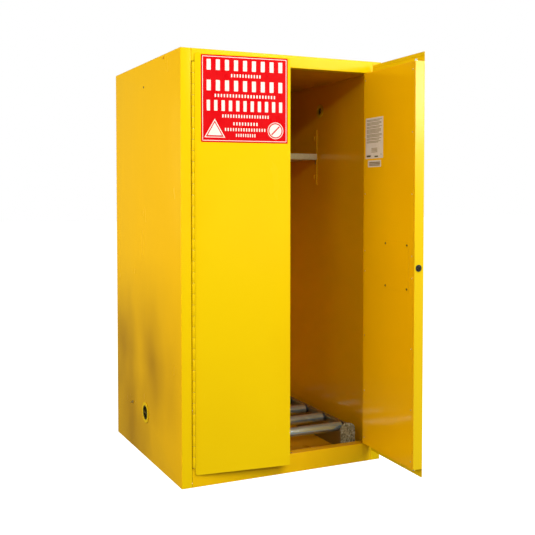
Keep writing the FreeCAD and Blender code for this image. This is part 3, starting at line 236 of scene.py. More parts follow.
def powder_coat(name, main=YELLOW, deep=YELLOW_DEEP, roughness=0.22, specular=0.20, sheen=WARM_SHEEN,
                across=None, low_shade=False, trodden=False):
    """Gloss powder coat on sheet steel: orange peel, a faint ripple, paler edges, partly thin paint and partly a
    painted highlight, and painted shade in joints.

    sheen tints what it reflects. across is another tone for faces that look sideways, painted light and shade on
    them; smeared adds painted shade and painted reflections low on those faces, and trodden adds a film of dirt
    on faces that look up.
    """
    paint = Shader(name, main, roughness, specular=specular)
    paint.bsdf.inputs["Specular Tint"].default_value = sheen
    clouds = paint.noise(1.7, 3.0, 0.5, distortion=0.3)
    tone = paint.blend(paint.span(clouds, 0.40, 0.66, 0.0, 0.8), main, deep)
    grain = paint.noise(420.0, 2.0)
    tone = paint.blend(paint.span(grain, 0.35, 0.65, 0.0, 0.08), tone, deep)
    # The sideways tone: painted light and shade
    if across:
        tone = paint.blend(paint.facing("X"), tone, across)
    # Painted shade and painted reflections low on the sides
    if low_shade:
        tone = paint.blend(low_side_shade_mask(paint), tone, LOW_SIDE_SHADE)
    if trodden:
        tone = paint.blend(dirt_film(paint), tone, TRODDEN)
    # Paler edges: partly thin paint, partly a painted highlight
    tone = paint.blend(paint.edge_mask(0.0012, 0.35), tone, EDGE_HIGHLIGHT)
    # Darker joints and corners, from occlusion: painted shade
    tone = paint.blend(paint.crevices(0.007, 0.75), tone, JOINT_SHADE)
    smudges = paint.noise(9.0, 5.0, 0.6, vector=paint.stretched((1.0, 1.0, 0.35)), distortion=0.6)
    gloss = paint.span(smudges, 0.42, 0.70, roughness - 0.03, roughness + 0.06)
    ripple = paint.noise(2.4, 1.0, 0.4, vector=paint.stretched((1.0, 1.0, 0.3)))
    peel = paint.noise(260.0, 2.0, 0.5)
    normal = paint.bump(ripple, 1.0, 0.0016, under=paint.bevelled_normal(0.0008))
    normal = paint.bump(peel, 0.30, 0.00010, under=normal)
    return paint.finish(tone, gloss, normal)


def galvanised(name):
    """Galvanised sheet: a fine soft spangle on warm grey, with a few dull patches."""
    darker, lighter = (0.70, 0.70, 0.43), (0.77, 0.77, 0.50)
    dull, crevice_shade = (0.52, 0.53, 0.44), (0.12, 0.09, 0.04)
    zinc = Shader(name, (0.68, 0.74, 0.58), 0.38, metallic=0.3)
    split = zinc.node("ShaderNodeSeparateColor")
    zinc.feed(split.inputs["Color"], zinc.cells(150.0, output="Color"))
    patches = zinc.span(zinc.noise(14.0, 5.0, 0.6), 0.48, 0.75, 0.0, 0.35)
    shade = zinc.blend(split.outputs["Red"], darker, lighter)
    shade = zinc.blend(patches, shade, dull)
    # Darker zinc in joints and corners, from occlusion: painted shade
    shade = zinc.blend(zinc.crevices(0.008, 0.6), shade, crevice_shade)
    gloss = zinc.span(split.outputs["Green"], 0.0, 1.0, 0.33, 0.42)
    return zinc.finish(shade, gloss, zinc.bump(zinc.noise(600.0, 2.0), 0.15, 0.0001))


def zinc_tube(name):
    """Drawn zinc-plated tube: fine marks round it, and dull rub marks where drums have rolled."""
    bright, ringed, rubbed = (0.46, 0.59, 0.67), (0.41, 0.52, 0.58), (0.32, 0.39, 0.41)
    metal = Shader(name, (0.47, 0.60, 0.68), 0.21, metallic=0.82, specular=0.8)
    rings = metal.noise(60.0, 3.0, 0.6, vector=metal.stretched((7.0, 0.3, 0.3)))
    rubs = metal.noise(7.0, 4.0, 0.6, vector=metal.stretched((1.0, 0.4, 0.4)))
    shade = metal.blend(metal.span(rings, 0.35, 0.7, 0.0, 0.35), bright, ringed)
    shade = metal.blend(metal.span(rubs, 0.52, 0.70, 0.0, 0.25), shade, rubbed)
    gloss = metal.span(rubs, 0.40, 0.70, 0.19, 0.23)
    return metal.finish(shade, gloss, metal.bump(rings, 0.02, 0.00002))


def plated(name, colour=(0.62, 0.62, 0.60), roughness=0.28):
    """Small plated steel fittings with faint handling marks and rubbed edges."""
    handled = tuple(part * 0.62 for part in colour)
    rubbed = (0.80, 0.80, 0.78)
    metal = Shader(name, colour, roughness, metallic=1.0)
    marks = metal.noise(160.0, 5.0, 0.65, vector=metal.stretched((1.0, 1.0, 3.0)))
    shade = metal.blend(metal.span(marks, 0.45, 0.72, 0.0, 0.6), colour, handled)
    shade = metal.blend(metal.edge_mask(0.0008, 0.6), shade, rubbed)
    gloss = metal.span(marks, 0.35, 0.7, roughness - 0.06, roughness + 0.16)
    return metal.finish(shade, gloss, metal.bump(marks, 0.2, 0.0001))


def moulded(name, colour, roughness=0.42):
    """Moulded or coated black parts with a fine spark-eroded texture and paler rubbed edges."""
    pale = tuple(min(1.0, part * 2.2 + 0.03) for part in colour)
    plastic = Shader(name, colour, roughness, specular=0.45)
    grain = plastic.noise(700.0, 2.0, 0.6)
    tone = plastic.blend(plastic.span(plastic.noise(30.0, 5.0), 0.4, 0.7, 0.0, 0.35), colour, pale)
    tone = plastic.blend(plastic.edge_mask(0.001, 0.5), tone, pale)
    gloss = plastic.span(grain, 0.3, 0.7, roughness - 0.08, roughness + 0.10)
    return plastic.finish(tone, gloss, plastic.bump(grain, 0.35, 0.0002))


def vinyl(name, colour, roughness, specular):
    """Printed label film: even ink with faint mottling, and a slightly uneven gloss."""
    mottle = tuple(part * 0.86 for part in colour)
    film = Shader(name, colour, roughness, specular=specular)
    tone = film.blend(film.span(film.noise(55.0, 4.0), 0.4, 0.7, 0.0, 0.5), colour, mottle)
    gloss = film.span(film.noise(16.0, 3.0), 0.35, 0.7, roughness - 0.05, roughness + 0.12)
    return film.finish(tone, gloss, film.bump(film.noise(40.0, 2.0), 0.2, 0.0003))


def padding(name):
    """Grey rebonded padding: speckled crumbs of several greys and browns under a matt skin."""
    dark, light, fleck = (0.10, 0.078, 0.037), (0.34, 0.28, 0.165), (0.46, 0.43, 0.33)
    foam = Shader(name, (0.30, 0.25, 0.20), 0.85, specular=0.25)
    split = foam.node("ShaderNodeSeparateColor")
    foam.feed(split.inputs["Color"], foam.cells(190.0, output="Color"))
    tone = foam.blend(split.outputs["Red"], dark, light)
    tone = foam.blend(foam.span(split.outputs["Blue"], 0.80, 0.9, 0.0, 0.7), tone, fleck)
    rough = foam.bump(foam.cells(230.0), 0.8, 0.0012)
    return foam.finish(tone, None, foam.bump(foam.noise(70.0, 4.0), 0.6, 0.002, under=rough))


def brass(name, dark=(0.03, 0.027, 0.008), bright=(0.24, 0.22, 0.09)):
    """Dull cast brass with dark and brighter stains, bright along its edges: some wear there, and a painted
    highlight.
    """
    worn_and_glint = (0.85, 0.80, 0.42)
    metal = Shader(name, dark, 0.38, metallic=0.7)
    stain = metal.noise(150.0, 5.0, 0.65)
    shade = metal.blend(metal.span(stain, 0.45, 0.75, 0.0, 0.5), dark, bright)
    # Bright edges: some wear, and a painted highlight
    shade = metal.blend(metal.edge_mask(0.0014), shade, worn_and_glint)
    return metal.finish(shade, metal.span(stain, 0.3, 0.7, 0.30, 0.50), metal.bump(stain, 0.3, 0.0003))


FINISHES = {
    "yellow_paint": powder_coat("powder_coat_outside"),
    # The inside in a more orange tone: painted warm shade
    "inner_paint": powder_coat("powder_coat_inside", ORANGE, ORANGE_DEEP, 0.15, specular=0.45),
    "galvanised": galvanised("galvanised_sheet"),
    "zinc": plated("zinc_plate"),
    "black_steel": plated("blackened_steel", (0.06, 0.055, 0.045), 0.30),
    "rivet_metal": plated("bright_rivets", (0.92, 0.84, 0.55), 0.22),
    "bright_steel": plated("plain_steel", (0.50, 0.49, 0.47), 0.34),
    "handle_black": moulded("black_coat", (0.018, 0.018, 0.018), 0.34),
    "lock_chrome": plated("chrome_plate", (0.72, 0.72, 0.72), 0.14),
    "brass": brass("dull_brass", (0.42, 0.32, 0.12), (0.60, 0.50, 0.28)),
    "bung_metal": brass("bung_brass"),
    "arrester": brass("arrester_mesh"),
    "bumper_foam": padding("rail_padding"),
    "black_plastic": moulded("black_plastic", (0.02, 0.02, 0.02)),
    "nylon": moulded("dark_nylon", (0.012, 0.012, 0.011), 0.5),
    "foot_rubber": moulded("foot_pad", (0.022, 0.022, 0.022), 0.6),
    "label": vinyl("label_red", (0.64, 0.001, 0.004), 0.3, specular=0.08),
}
# The sides: a brighter tone as painted light, and painted shade and reflections low down
SIDE_LIGHT_AND_SHADE_PAINT = powder_coat("powder_coat_sides", across=SIDE_LIGHT_TONE, low_shade=True)
# The doors' edge boxes: faces that look sideways take the inside's orange, a painted warm shade
DOOR_EDGE_PAINT = powder_coat("powder_coat_door_edges", specular=0.38, sheen=CLEAR_SHEEN, across=ORANGE)
SILL_PAINT = powder_coat("powder_coat_sill", (0.83, 0.49, 0.001), (0.78, 0.43, 0.001), trodden=True)
# A darker orange for the sump and a screw head: painted shade, in a powder coat like the rest
DARK_SHADE_PAINT = powder_coat("powder_coat_deep", (0.64, 0.27, 0.001), (0.56, 0.22, 0.001), 0.30, 0.45)
# Dark olive steel for the roller rails: painted shade where they lie under the rollers
RAIL_SHADE_STEEL = plated("rail_steel", (0.28, 0.27, 0.18), 0.42)
ROLLER_METAL = zinc_tube("roller_tube")
WHITE_INK = vinyl("label_white", (0.80, 0.74, 0.72), 0.3, specular=0.2)
PAPER = vinyl("paper_label", (0.75, 0.65, 0.74), 0.5, specular=0.3)
GREY_INK = vinyl("grey_ink", (0.24, 0.17, 0.12), 0.6, specular=0.2)
DARK_INK = vinyl("dark_ink", (0.06, 0.045, 0.035), 0.6, specular=0.2)


# ---- Door measures -------------------------------------------------------------------

class Door:
    """Turns a closed door's own measures u, t, z into places on the cabinet at rest."""

    def __init__(self, joint_name):
        joint = JOINTS[joint_name]
        hinge = Vector(joint["pos_m"])
        hinge.z = 0.0
        side = math.copysign(1.0, hinge.x)
        opened = Matrix.Rotation(math.radians(-joint["range_deg"][0]), 4, Vector(joint["axis"]))
        closed = Matrix.Diagonal((-side, 1, 1, 1))
        self.matrix = Matrix.Translation(hinge) @ opened @ closed
        self.frame_matrix = Matrix.Translation(hinge) @ closed

    def box(self, node, on_frame=False):
        """A node's lowest and highest u, t and z, on the door or on its frame."""
        back = (self.frame_matrix if on_frame else self.matrix).inverted()
        points = [back @ v.co for v in NODES[node].data.vertices]
        low = Vector([min(p[axis] for p in points) for axis in range(3)])
        high = Vector([max(p[axis] for p in points) for axis in range(3)])
        return low, high


# ---- Mesh helpers --------------------------------------------------------------------

MERGE_DISTANCE = 0.001 * MM
FLAT_ANGLE = math.radians(0.5)
BEVEL_ANGLE = math.radians(38)
SMOOTH_ANGLE = math.radians(35)
HEAD_SMOOTH = math.radians(60)
SHEET_ROUND = 0.35 * MM
FITTING_ROUND = 0.3 * MM
HEAD_ROUND = 0.5 * MM
ON_AXIS = 1e-7
DOME_STEPS = 5

# Sheets that reach down nearly to the floor: what is under the first height goes to the second
SKIRTED = ("outer_side_left", "outer_side_right", "outer_back", "sill_rail")
SHELL_FOOT = 3.1 * MM
SKIRT_FOOT = 0.3 * MM


def as_mesh(name, bm, smooth_angle=SMOOTH_ANGLE):
    """A finished mesh, smooth where its faces turn by less than the angle."""
    bmesh.ops.recalc_face_normals(bm, faces=bm.faces)
    mesh = bpy.data.meshes.new(name)
    bm.to_mesh(mesh)
    bm.free()
    mesh.shade_smooth()
    mesh.set_sharp_from_angle(angle=smooth_angle)
    return mesh


def place(name, bm, body, material, smooth_angle=SMOOTH_ANGLE):
    """Put a finished piece in the scene, riding on its body."""
    piece = bpy.data.objects.new(name, as_mesh(name, bm, smooth_angle))
    bpy.context.scene.collection.objects.link(piece)
    piece.data.materials.append(material)
    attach(piece, body)
    return piece


def stand_in(node, bm, material=None, ending="_finish", smooth_angle=SMOOTH_ANGLE):
    """Put a piece in a CAD node's place, in the finish of the node's own slot unless given another."""
    slot = SLOT_OF[node]
    piece = place(node + ending, bm, BODY_OF[node], material or FINISHES[slot], smooth_angle)
    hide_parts(node)
    return piece


def round_over(piece, width, segments):
    """Round every hard edge of a piece."""
    bevel = piece.modifiers.new("rounded_edges", "BEVEL")
    bevel.width = width
    bevel.segments = segments
    bevel.limit_method = "ANGLE"
    bevel.angle_limit = BEVEL_ANGLE
    bevel.harden_normals = True
    bevel.use_clamp_overlap = True


def node_mesh(node):
    """A node's own shape with the vertices that its faces share joined up."""
    bm = bmesh.new()
    bm.from_mesh(NODES[node].data)
    bmesh.ops.remove_doubles(bm, verts=bm.verts, dist=MERGE_DISTANCE)
    return bm


def rounded_copy(node, width=SHEET_ROUND, segments=2, material=None):
    """A visible sheet or fitting: the node's own shape, cleaned into whole faces with rounded edges."""
    bm = node_mesh(node)
    bmesh.ops.dissolve_limit(bm, angle_limit=FLAT_ANGLE, verts=bm.verts, edges=bm.edges)
    if node in SKIRTED:
        for vert in bm.verts:
            if vert.co.z < SHELL_FOOT:
                vert.co.z = SKIRT_FOOT
    round_over(stand_in(node, bm, material), width, segments)


def islands(node):
    """Lowest and highest corner of each separate solid in a node."""
    bm = node_mesh(node)
    left = set(bm.verts)
    found = []
    while left:
        group = [left.pop()]
        for vert in group:
            near = {edge.other_vert(vert) for edge in vert.link_edges} & left
            left -= near
            group.extend(near)
        low = Vector([min(v.co[axis] for v in group) for axis in range(3)])
        high = Vector([max(v.co[axis] for v in group) for axis in range(3)])
        found.append((low, high))
    bm.free()
    return sorted(found, key=lambda pair: tuple(round(c, 5) for c in pair[0]))


def add_block(bm, low, high, matrix=Matrix.Identity(4)):
    """A closed block between two corners."""
    size = [high[axis] - low[axis] for axis in range(3)]
    middle = [(high[axis] + low[axis]) / 2 for axis in range(3)]
    shape = matrix @ Matrix.Translation(middle) @ Matrix.Diagonal((*size, 1.0))
    bmesh.ops.create_cube(bm, size=1.0, matrix=shape)


def add_prism(bm, outline, t_front, t_back, matrix):
    """A closed plate from an outline of (u, z) points, between two depths t."""
    front = [bm.verts.new(matrix @ Vector((u, t_front, z))) for u, z in outline]
    back = [bm.verts.new(matrix @ Vector((u, t_back, z))) for u, z in outline]
    bm.faces.new(front)
    bm.faces.new(list(reversed(back)))
    count = len(outline)
    for n in range(count):
        following = (n + 1) % count
        bm.faces.new((front[following], front[n], back[n], back[following]))


def add_ring(bm, outer, inner, t_front, t_back, matrix):
    """A closed frame between an outer and an inner outline with the same number of points."""
    rims = []
    for outline in (outer, inner):
        for depth in (t_front, t_back):
            rims.append([bm.verts.new(matrix @ Vector((u, depth, z))) for u, z in outline])
    outer_front, outer_back, inner_front, inner_back = rims
    count = len(outer)
    for n in range(count):
        m = (n + 1) % count
        bm.faces.new((outer_front[n], outer_front[m], inner_front[m], inner_front[n]))
        bm.faces.new((outer_back[m], outer_back[n], inner_back[n], inner_back[m]))
        bm.faces.new((outer_front[m], outer_front[n], outer_back[n], outer_back[m]))
        bm.faces.new((inner_front[n], inner_front[m], inner_back[m], inner_back[n]))


def rounded_rectangle(u0, z0, u1, z1, radius, steps=5):
    """Outline of a rectangle with round corners, anticlockwise from the low corner."""
    corners = ((u1 - radius, z0 + radius, -90), (u1 - radius, z1 - radius, 0),
               (u0 + radius, z1 - radius, 90), (u0 + radius, z0 + radius, 180))
    points = []
    for u, z, start in corners:
        for step in range(steps + 1):
            angle = math.radians(start + 90 * step / steps)
            points.append((u + radius * math.cos(angle), z + radius * math.sin(angle)))
    return points


def circle(u, z, radius, steps=48):
    turn = 2 * math.pi / steps
    return [(u + radius * math.cos(turn * n), z + radius * math.sin(turn * n)) for n in range(steps)]


def triangle(u, z, half_width, height):
    """Outline of an upright triangle; u, z is the middle of its foot."""
    return [(u - half_width, z), (u + half_width, z), (u, z + height)]


def add_lathe(bm, profile, matrix, steps, tube=False):
    """A solid of revolution about the matrix's own X from (x, radius) pairs.

    A tube joins the last pair to the first.
    """
    turn = 2 * math.pi / steps
    rings = []
    for x, radius in profile:
        if radius < ON_AXIS:
            rings.append([bm.verts.new(matrix @ Vector((x, 0, 0)))])
            continue
        ring = [Vector((x, radius * math.cos(turn * n), radius * math.sin(turn * n))) for n in range(steps)]
        rings.append([bm.verts.new(matrix @ point) for point in ring])
    pairs = list(zip(rings, rings[1:]))
    if tube:
        pairs.append((rings[-1], rings[0]))
    for first, second in pairs:
        for n in range(steps):
            m = (n + 1) % steps
            corners = [first[n % len(first)], first[m % len(first)]]
            corners += [second[m % len(second)], second[n % len(second)]]
            bm.faces.new(list(dict.fromkeys(corners)))


def dome(radius, height):
    """(x, radius) pairs of a domed head, from just above its rim to its top."""
    angles = [math.pi / 2 * step / DOME_STEPS for step in range(1, DOME_STEPS + 1)]
    return [(height * math.sin(angle), radius * math.cos(angle)) for angle in angles]


# ---- Sheet metal and fittings that keep the CAD shape ---------------------------------

SHEETS = (
    "outer_side_left", "outer_side_right", "outer_back", "outer_top", "base_pan", "header_rail", "sill_rail",
    "inner_side_left", "inner_side_right", "inner_back", "inner_ceiling", "sump_pan", "shelf_tray",
    "shelf_tracks", "shelf_clips", "roller_rails", "left_door_skin", "left_door_pan", "left_door_panel",
    "right_door_skin", "right_door_pan", "right_door_panel", "latch_cover_plate",
)
FITTINGS = (
    "vent_collars", "vent_bung_lower", "vent_bung_upper", "handle_cup", "paddle_handle", "lock_cylinder",
    "earth_terminal", "side_plug", "levelling_feet", "roller_bushes", "latch_guides",
)
OWN_FINISH = {
    # The sides take painted light and painted shade
    "outer_side_left": SIDE_LIGHT_AND_SHADE_PAINT,
    "outer_side_right": SIDE_LIGHT_AND_SHADE_PAINT,
    "left_door_pan": DOOR_EDGE_PAINT,
    "right_door_pan": DOOR_EDGE_PAINT,
    "sill_rail": SILL_PAINT,
    # The sump in a darker orange: painted shade
    "sump_pan": DARK_SHADE_PAINT,
    # The rails dark: painted shade
    "roller_rails": RAIL_SHADE_STEEL,
}


def sheet_metal():
    for node in SHEETS:
        rounded_copy(node, material=OWN_FINISH.get(node))
    for node in FITTINGS:
        rounded_copy(node, FITTING_ROUND)
    for node in ("centre_bolt", "latch_screws"):
        rounded_copy(node, HEAD_ROUND, 3)


def hidden_fittings():
    """Nodes that keep the CAD mesh: what is sealed inside, or too small to gain from rounding."""
    for name, node in NODES.items():
        if not node.hide_render:
            node.data.materials.clear()
            node.data.materials.append(FINISHES[SLOT_OF[name]])


# ---- Piano hinges --------------------------------------------------------------------

KNUCKLES = 37
KNUCKLE_GAP = 0.4 * MM
KNUCKLE_BORE = 4.0 * MM
KNUCKLE_ROUND = 1.5 * MM
KNUCKLE_MITRE = KNUCKLE_ROUND * 0.3
KNUCKLE_SIDES = 28
LEAF_THICK = 1.5 * MM
LEAF_START = 6.0 * MM


def hinge_leaf(door, node, first, on_frame):
    """A leaf and every second knuckle, each knuckle rolled from the leaf and rounded at its ends."""
    matrix = door.frame_matrix if on_frame else door.matrix
    low, high = door.box(node, on_frame)
    foot, head = (corner.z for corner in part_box("hinge_pins"))
    radius = -low.y
    towards = -1 if on_frame else 1
    front, back = sorted((towards * radius, towards * (radius - LEAF_THICK)))
    bm = bmesh.new()
    add_block(bm, (front, LEAF_START, foot), (back, high.y, head), matrix)
    pitch = (head - foot) / KNUCKLES
    length = pitch - KNUCKLE_GAP
    end = [
        (0.0, KNUCKLE_BORE),
        (0.0, radius - KNUCKLE_ROUND),
        (KNUCKLE_MITRE, radius - KNUCKLE_MITRE),
        (KNUCKLE_ROUND, radius),
    ]
    profile = end + [(length - z, r) for z, r in reversed(end)]
    for n in range(first, KNUCKLES, 2):
        start = foot + pitch * n + KNUCKLE_GAP / 2
        stand = Matrix.Translation((0, 0, start)) @ Matrix.Rotation(-math.pi / 2, 4, "Y")
        add_lathe(bm, profile, matrix @ stand, KNUCKLE_SIDES, tube=True)
        tab_low, tab_high = start + KNUCKLE_ROUND / 2, start + length - KNUCKLE_ROUND / 2
        add_block(bm, (front, 0, tab_low), (back, LEAF_START, tab_high), matrix)
    stand_in(node, bm)


# ---- Screw, rivets and sealer --------------------------------------------------------

RIVET_HEIGHT = 1.3 * MM
RIVET_SIDES = 20
SCREW_RADIUS = 6.0 * MM
SCREW_TALL = 3.5 * MM
SCREW_SIDES = 24
SCREW_AT = (-0.245, 1.627)
SHEET_THICK = 1.25 * MM
BEAD_WIDE = 5.0 * MM
BEAD_OVER = 1.2 * MM
BEAD_DEEP = 1.4 * MM
BEAD_TALL = 14.0 * MM


def top_screw():
    """Small painted screw head close under the top edge of the left side."""
    side_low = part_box("outer_side_left")[0]
    profile = [(0.0, 0.0), (0.0, SCREW_RADIUS)] + dome(SCREW_RADIUS, SCREW_TALL)
    bm = bmesh.new()
    seat = Matrix.Translation((side_low.x, *SCREW_AT)) @ Matrix.Rotation(math.pi, 4, "Z")
    add_lathe(bm, profile, seat, SCREW_SIDES)
    # Darker orange than the side paint: painted shade on the screw head
    place("top_screw", bm, "cabinet", DARK_SHADE_PAINT, HEAD_SMOOTH)


def seam_beads():
    """A bead of sealer behind each end of the sill rail, so that the seams by the stiles are closed."""
    low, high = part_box("sill_rail")
    back = low.y + SHEET_THICK
    spans = {
        "seam_bead_left": (low.x - BEAD_OVER, low.x + BEAD_WIDE),
        "seam_bead_right": (high.x - BEAD_WIDE, high.x + BEAD_OVER),
    }
    for name, (left, right) in spans.items():
        bm = bmesh.new()
        add_block(bm, (left, back, SKIRT_FOOT), (right, back + BEAD_DEEP, SKIRT_FOOT + BEAD_TALL))
        bmesh.ops.bevel(bm, geom=bm.edges[:], offset=BEAD_DEEP / 4, segments=2, affect="EDGES")
        place(name, bm, "cabinet", FINISHES["yellow_paint"])


def rivets(door, node):
    """Domed heads in place of the CAD's plain ones, all in one piece."""
    back = door.matrix.inverted()
    shank_end, top = (corner.y for corner in door.box(node))
    root = top - RIVET_HEIGHT
    bm = bmesh.new()
    for low, high in islands(node):
        middle = back @ ((low + high) / 2)
        radius = (high.z - low.z) / 2
        profile = [(shank_end - root, 0.0), (shank_end - root, radius / 2), (0.0, radius / 2), (0.0, radius)]
        seat = Matrix.Translation((middle.x, root, middle.z)) @ Matrix.Rotation(math.pi / 2, 4, "Z")
        add_lathe(bm, profile + dome(radius, RIVET_HEIGHT), door.matrix @ seat, RIVET_SIDES)
    stand_in(node, bm, smooth_angle=HEAD_SMOOTH)


# ---- Rollers -------------------------------------------------------------------------

ROLLER_NAMES = ["roller_%d" % number for number in range(1, 6)]
ROLLER_SIDES = 64
ROLLER_SWAGE = 1.8 * MM
SWAGE_STEPS = 4
TUBE_WALL = 2.5 * MM


def rollers():
    """Drawn tubes with their ends rolled in over the bushes."""
    for name in ROLLER_NAMES:
        low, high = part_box(name)
        radius = (high.z - low.z) / 2
        centre = Vector((0, (low.y + high.y) / 2, (low.z + high.z) / 2))
        left_end = [(low.x, radius - TUBE_WALL)]
        for step in range(SWAGE_STEPS + 1):
            angle = math.pi / 2 * step / SWAGE_STEPS
            x = low.x + ROLLER_SWAGE * (1 - math.cos(angle))
            left_end.append((x, radius - ROLLER_SWAGE * (1 - math.sin(angle))))
        profile = left_end + [(-x, r) for x, r in reversed(left_end)]
        bm = bmesh.new()
        add_lathe(bm, profile, Matrix.Translation(centre), ROLLER_SIDES, tube=True)
        stand_in(name, bm, ROLLER_METAL, "_tube")


# ---- Rail padding --------------------------------------------------------------------

PAD_ROUND = 29.0 * MM
PAD_VOXEL = 2.4 * MM
PAD_SMOOTHING = 4
LUMP_WIDE = 0.010
LUMP_TALL = 3.0 * MM
LUMP_MIDDLE = 0.6


def rail_padding():
    """Lumpy round-topped pads over the front ends of the roller rails."""
    bm = bmesh.new()
    for low, high in islands("rail_bumpers"):
        outline = arch(low.x, low.z, high.x, high.z, PAD_ROUND)
        add_prism(bm, outline, low.y, high.y, Matrix.Identity(4))
    piece = place("rail_padding", bm, "cabinet", FINISHES["bumper_foam"])
    remesh = piece.modifiers.new("even_mesh", "REMESH")
    remesh.mode = "VOXEL"
    remesh.voxel_size = PAD_VOXEL
    settle = piece.modifiers.new("settled", "SMOOTH")
    settle.iterations = PAD_SMOOTHING
    lumps = bpy.data.textures.new("padding_lumps", "CLOUDS")
    lumps.noise_scale = LUMP_WIDE
    displace = piece.modifiers.new("lumps", "DISPLACE")
    displace.texture = lumps
    displace.strength = LUMP_TALL
    displace.mid_level = LUMP_MIDDLE
    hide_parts("rail_bumpers")


def arch(x0, z0, x1, z1, radius, steps=10):
    """Outline of an upright block with two round top corners."""
    points = [(x0, z0), (x1, z0)]
    for middle, start in ((x1 - radius, 0), (x0 + radius, 90)):
        for step in range(steps + 1):
            angle = math.radians(start + 90 * step / steps)
            points.append((middle + radius * math.cos(angle), z1 - radius + radius * math.sin(angle)))
    return points


# ---- Red label -----------------------------------------------------------------------

INK = 0.10 * MM
BLOCK_GAP = 0.55
BLOCK_ROUND = 0.12
PANEL_ROUND = 3.0 * MM

# The white border's place and width, and the radius outside and inside its corners
BORDER_AT = 5.5 * MM
BORDER_WIDE = 2.2 * MM
BORDER_ROUND = (2.5 * MM, 1.5 * MM)

# Rows of blocks in shares of the red label's width and height: left, right, top, height, blocks
ROWS = (
    (0.065, 0.935, 0.052, 0.122, 9),
    (0.065, 0.935, 0.287, 0.122, 9),
    (0.065, 0.935, 0.517, 0.122, 11),
    (0.340, 0.680, 0.212, 0.036, 11),
    (0.155, 0.850, 0.445, 0.036, 21),
    (0.240, 0.775, 0.678, 0.036, 18),
    (0.365, 0.645, 0.765, 0.036, 9),
    (0.270, 0.735, 0.832, 0.036, 16),
    (0.395, 0.620, 0.898, 0.036, 9),
)

# The triangular sign's foot, then each triangle's half width, height and lift above that foot
TRIANGLE_AT = (0.155, 0.945)
TRIANGLE_OUTSIDE = (0.118, 0.215, 0.0)
TRIANGLE_INSIDE = (0.102, 0.186, 2.6 * MM)
TRIANGLE_CORE = (0.080, 0.146, 8.0 * MM)

# The round sign's middle, its radii in shares of the height, and the bar across it
ROUND_AT = (0.855, 0.852)
ROUND_OUTSIDE, ROUND_INSIDE, ROUND_CORE = 0.098, 0.090, 0.076
SLASH_REACH = 0.070
SLASH_HALF = 2.4 * MM
SLASH_ROUND = 1.0 * MM
SLASH_TURN = -45.0


class LabelPrint:
    """White shapes on the red label, placed by shares of its width and height."""

    def __init__(self, door, low, high):
        self.matrix = door.matrix
        self.low, self.high = low, high
        self.wide, self.tall = high.x - low.x, high.z - low.z
        self.front = low.y
        self.bm = bmesh.new()

    def at(self, across, down):
        return self.low.x + self.wide * across, self.high.z - self.tall * down

    def solid(self, outline):
        add_prism(self.bm, outline, self.front, self.front - INK, self.matrix)

    def ring(self, outer, inner):
        add_ring(self.bm, outer, inner, self.front, self.front - INK, self.matrix)

    def border(self):
        outlines = []
        for inset, radius in zip((BORDER_AT, BORDER_AT + BORDER_WIDE), BORDER_ROUND):
            low = (self.low.x + inset, self.low.z + inset)
            high = (self.high.x - inset, self.high.z - inset)
            outlines.append(rounded_rectangle(*low, *high, radius))
        self.ring(*outlines)

    def row(self, left, right, top, tall, count):
        """A row of equal blocks."""
        pitch = (right - left) / (count - BLOCK_GAP)
        for n in range(count):
            u0, z1 = self.at(left + pitch * n, top)
            u1, z0 = self.at(left + pitch * (n + 1 - BLOCK_GAP), top + tall)
            radius = min(u1 - u0, z1 - z0) * BLOCK_ROUND
            self.solid(rounded_rectangle(u0, z0, u1, z1, radius, 3))

    def triangle(self, half_width, height, lift):
        u, z = self.at(*TRIANGLE_AT)
        return triangle(u, z + lift, half_width * self.wide, height * self.tall)

    def disc(self, radius):
        return circle(*self.at(*ROUND_AT), radius * self.tall)


def front_label(door):
    """Red panel with a white border, rows of blocks, and a triangular and a round sign."""
    low, high = door.box("front_label")
    bm = bmesh.new()
    add_prism(bm, rounded_rectangle(low.x, low.z, high.x, high.z, PANEL_ROUND), high.y, low.y, door.matrix)
    base = place("front_label_panel", bm, "left_door", FINISHES["label"])
    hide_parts("front_label")

    white = LabelPrint(door, low, high)
    white.border()
    for row in ROWS:
        white.row(*row)
    white.ring(white.triangle(*TRIANGLE_OUTSIDE), white.triangle(*TRIANGLE_INSIDE))
    white.solid(white.triangle(*TRIANGLE_CORE))
    white.ring(white.disc(ROUND_OUTSIDE), white.disc(ROUND_INSIDE))
    white.solid(white.disc(ROUND_CORE))
    place("front_label_print", white.bm, "left_door", WHITE_INK)

    u, z = white.at(*ROUND_AT)
    turned = Matrix.Translation((u, 0, z)) @ Matrix.Rotation(math.radians(SLASH_TURN), 4, "Y")
    reach = SLASH_REACH * white.tall
    bar = rounded_rectangle(-reach, -SLASH_HALF, reach, SLASH_HALF, SLASH_ROUND)
    bm = bmesh.new()
    add_prism(bm, bar, low.y - INK, low.y - INK * 2, door.matrix @ turned)
    place("front_label_slash", bm, "left_door", FINISHES["label"])


# ---- Paper labels --------------------------------------------------------------------

# Lowest and highest u, then lowest and highest z, in the right door's own measures
LARGE_PAPER = (0.023, 0.159, 1.243, 1.405)
SMALL_PAPER = (0.042, 0.144, 1.209, 1.236)
PAPER_THICK = 0.15 * MM
PAPER_ROUND = 2.0 * MM
BAR_ROUND = 0.6 * MM

# Lines of fine print in shares of the large label: each paragraph's lines and how far right they
# reach, then the first line's top and the spacing
PARAGRAPHS = ((2, 0.93), (3, 0.90), (2, 0.93), (4, 0.88), (3, 0.92), (2, 0.90), (2, 0.86))
LINE_TOP = 0.045
LINE_THICK = 0.013
LINE_LEFT = 0.06
LINE_PITCH = 0.027
LAST_LINE_SHORTER = 0.12
PARAGRAPH_GAP = 0.016

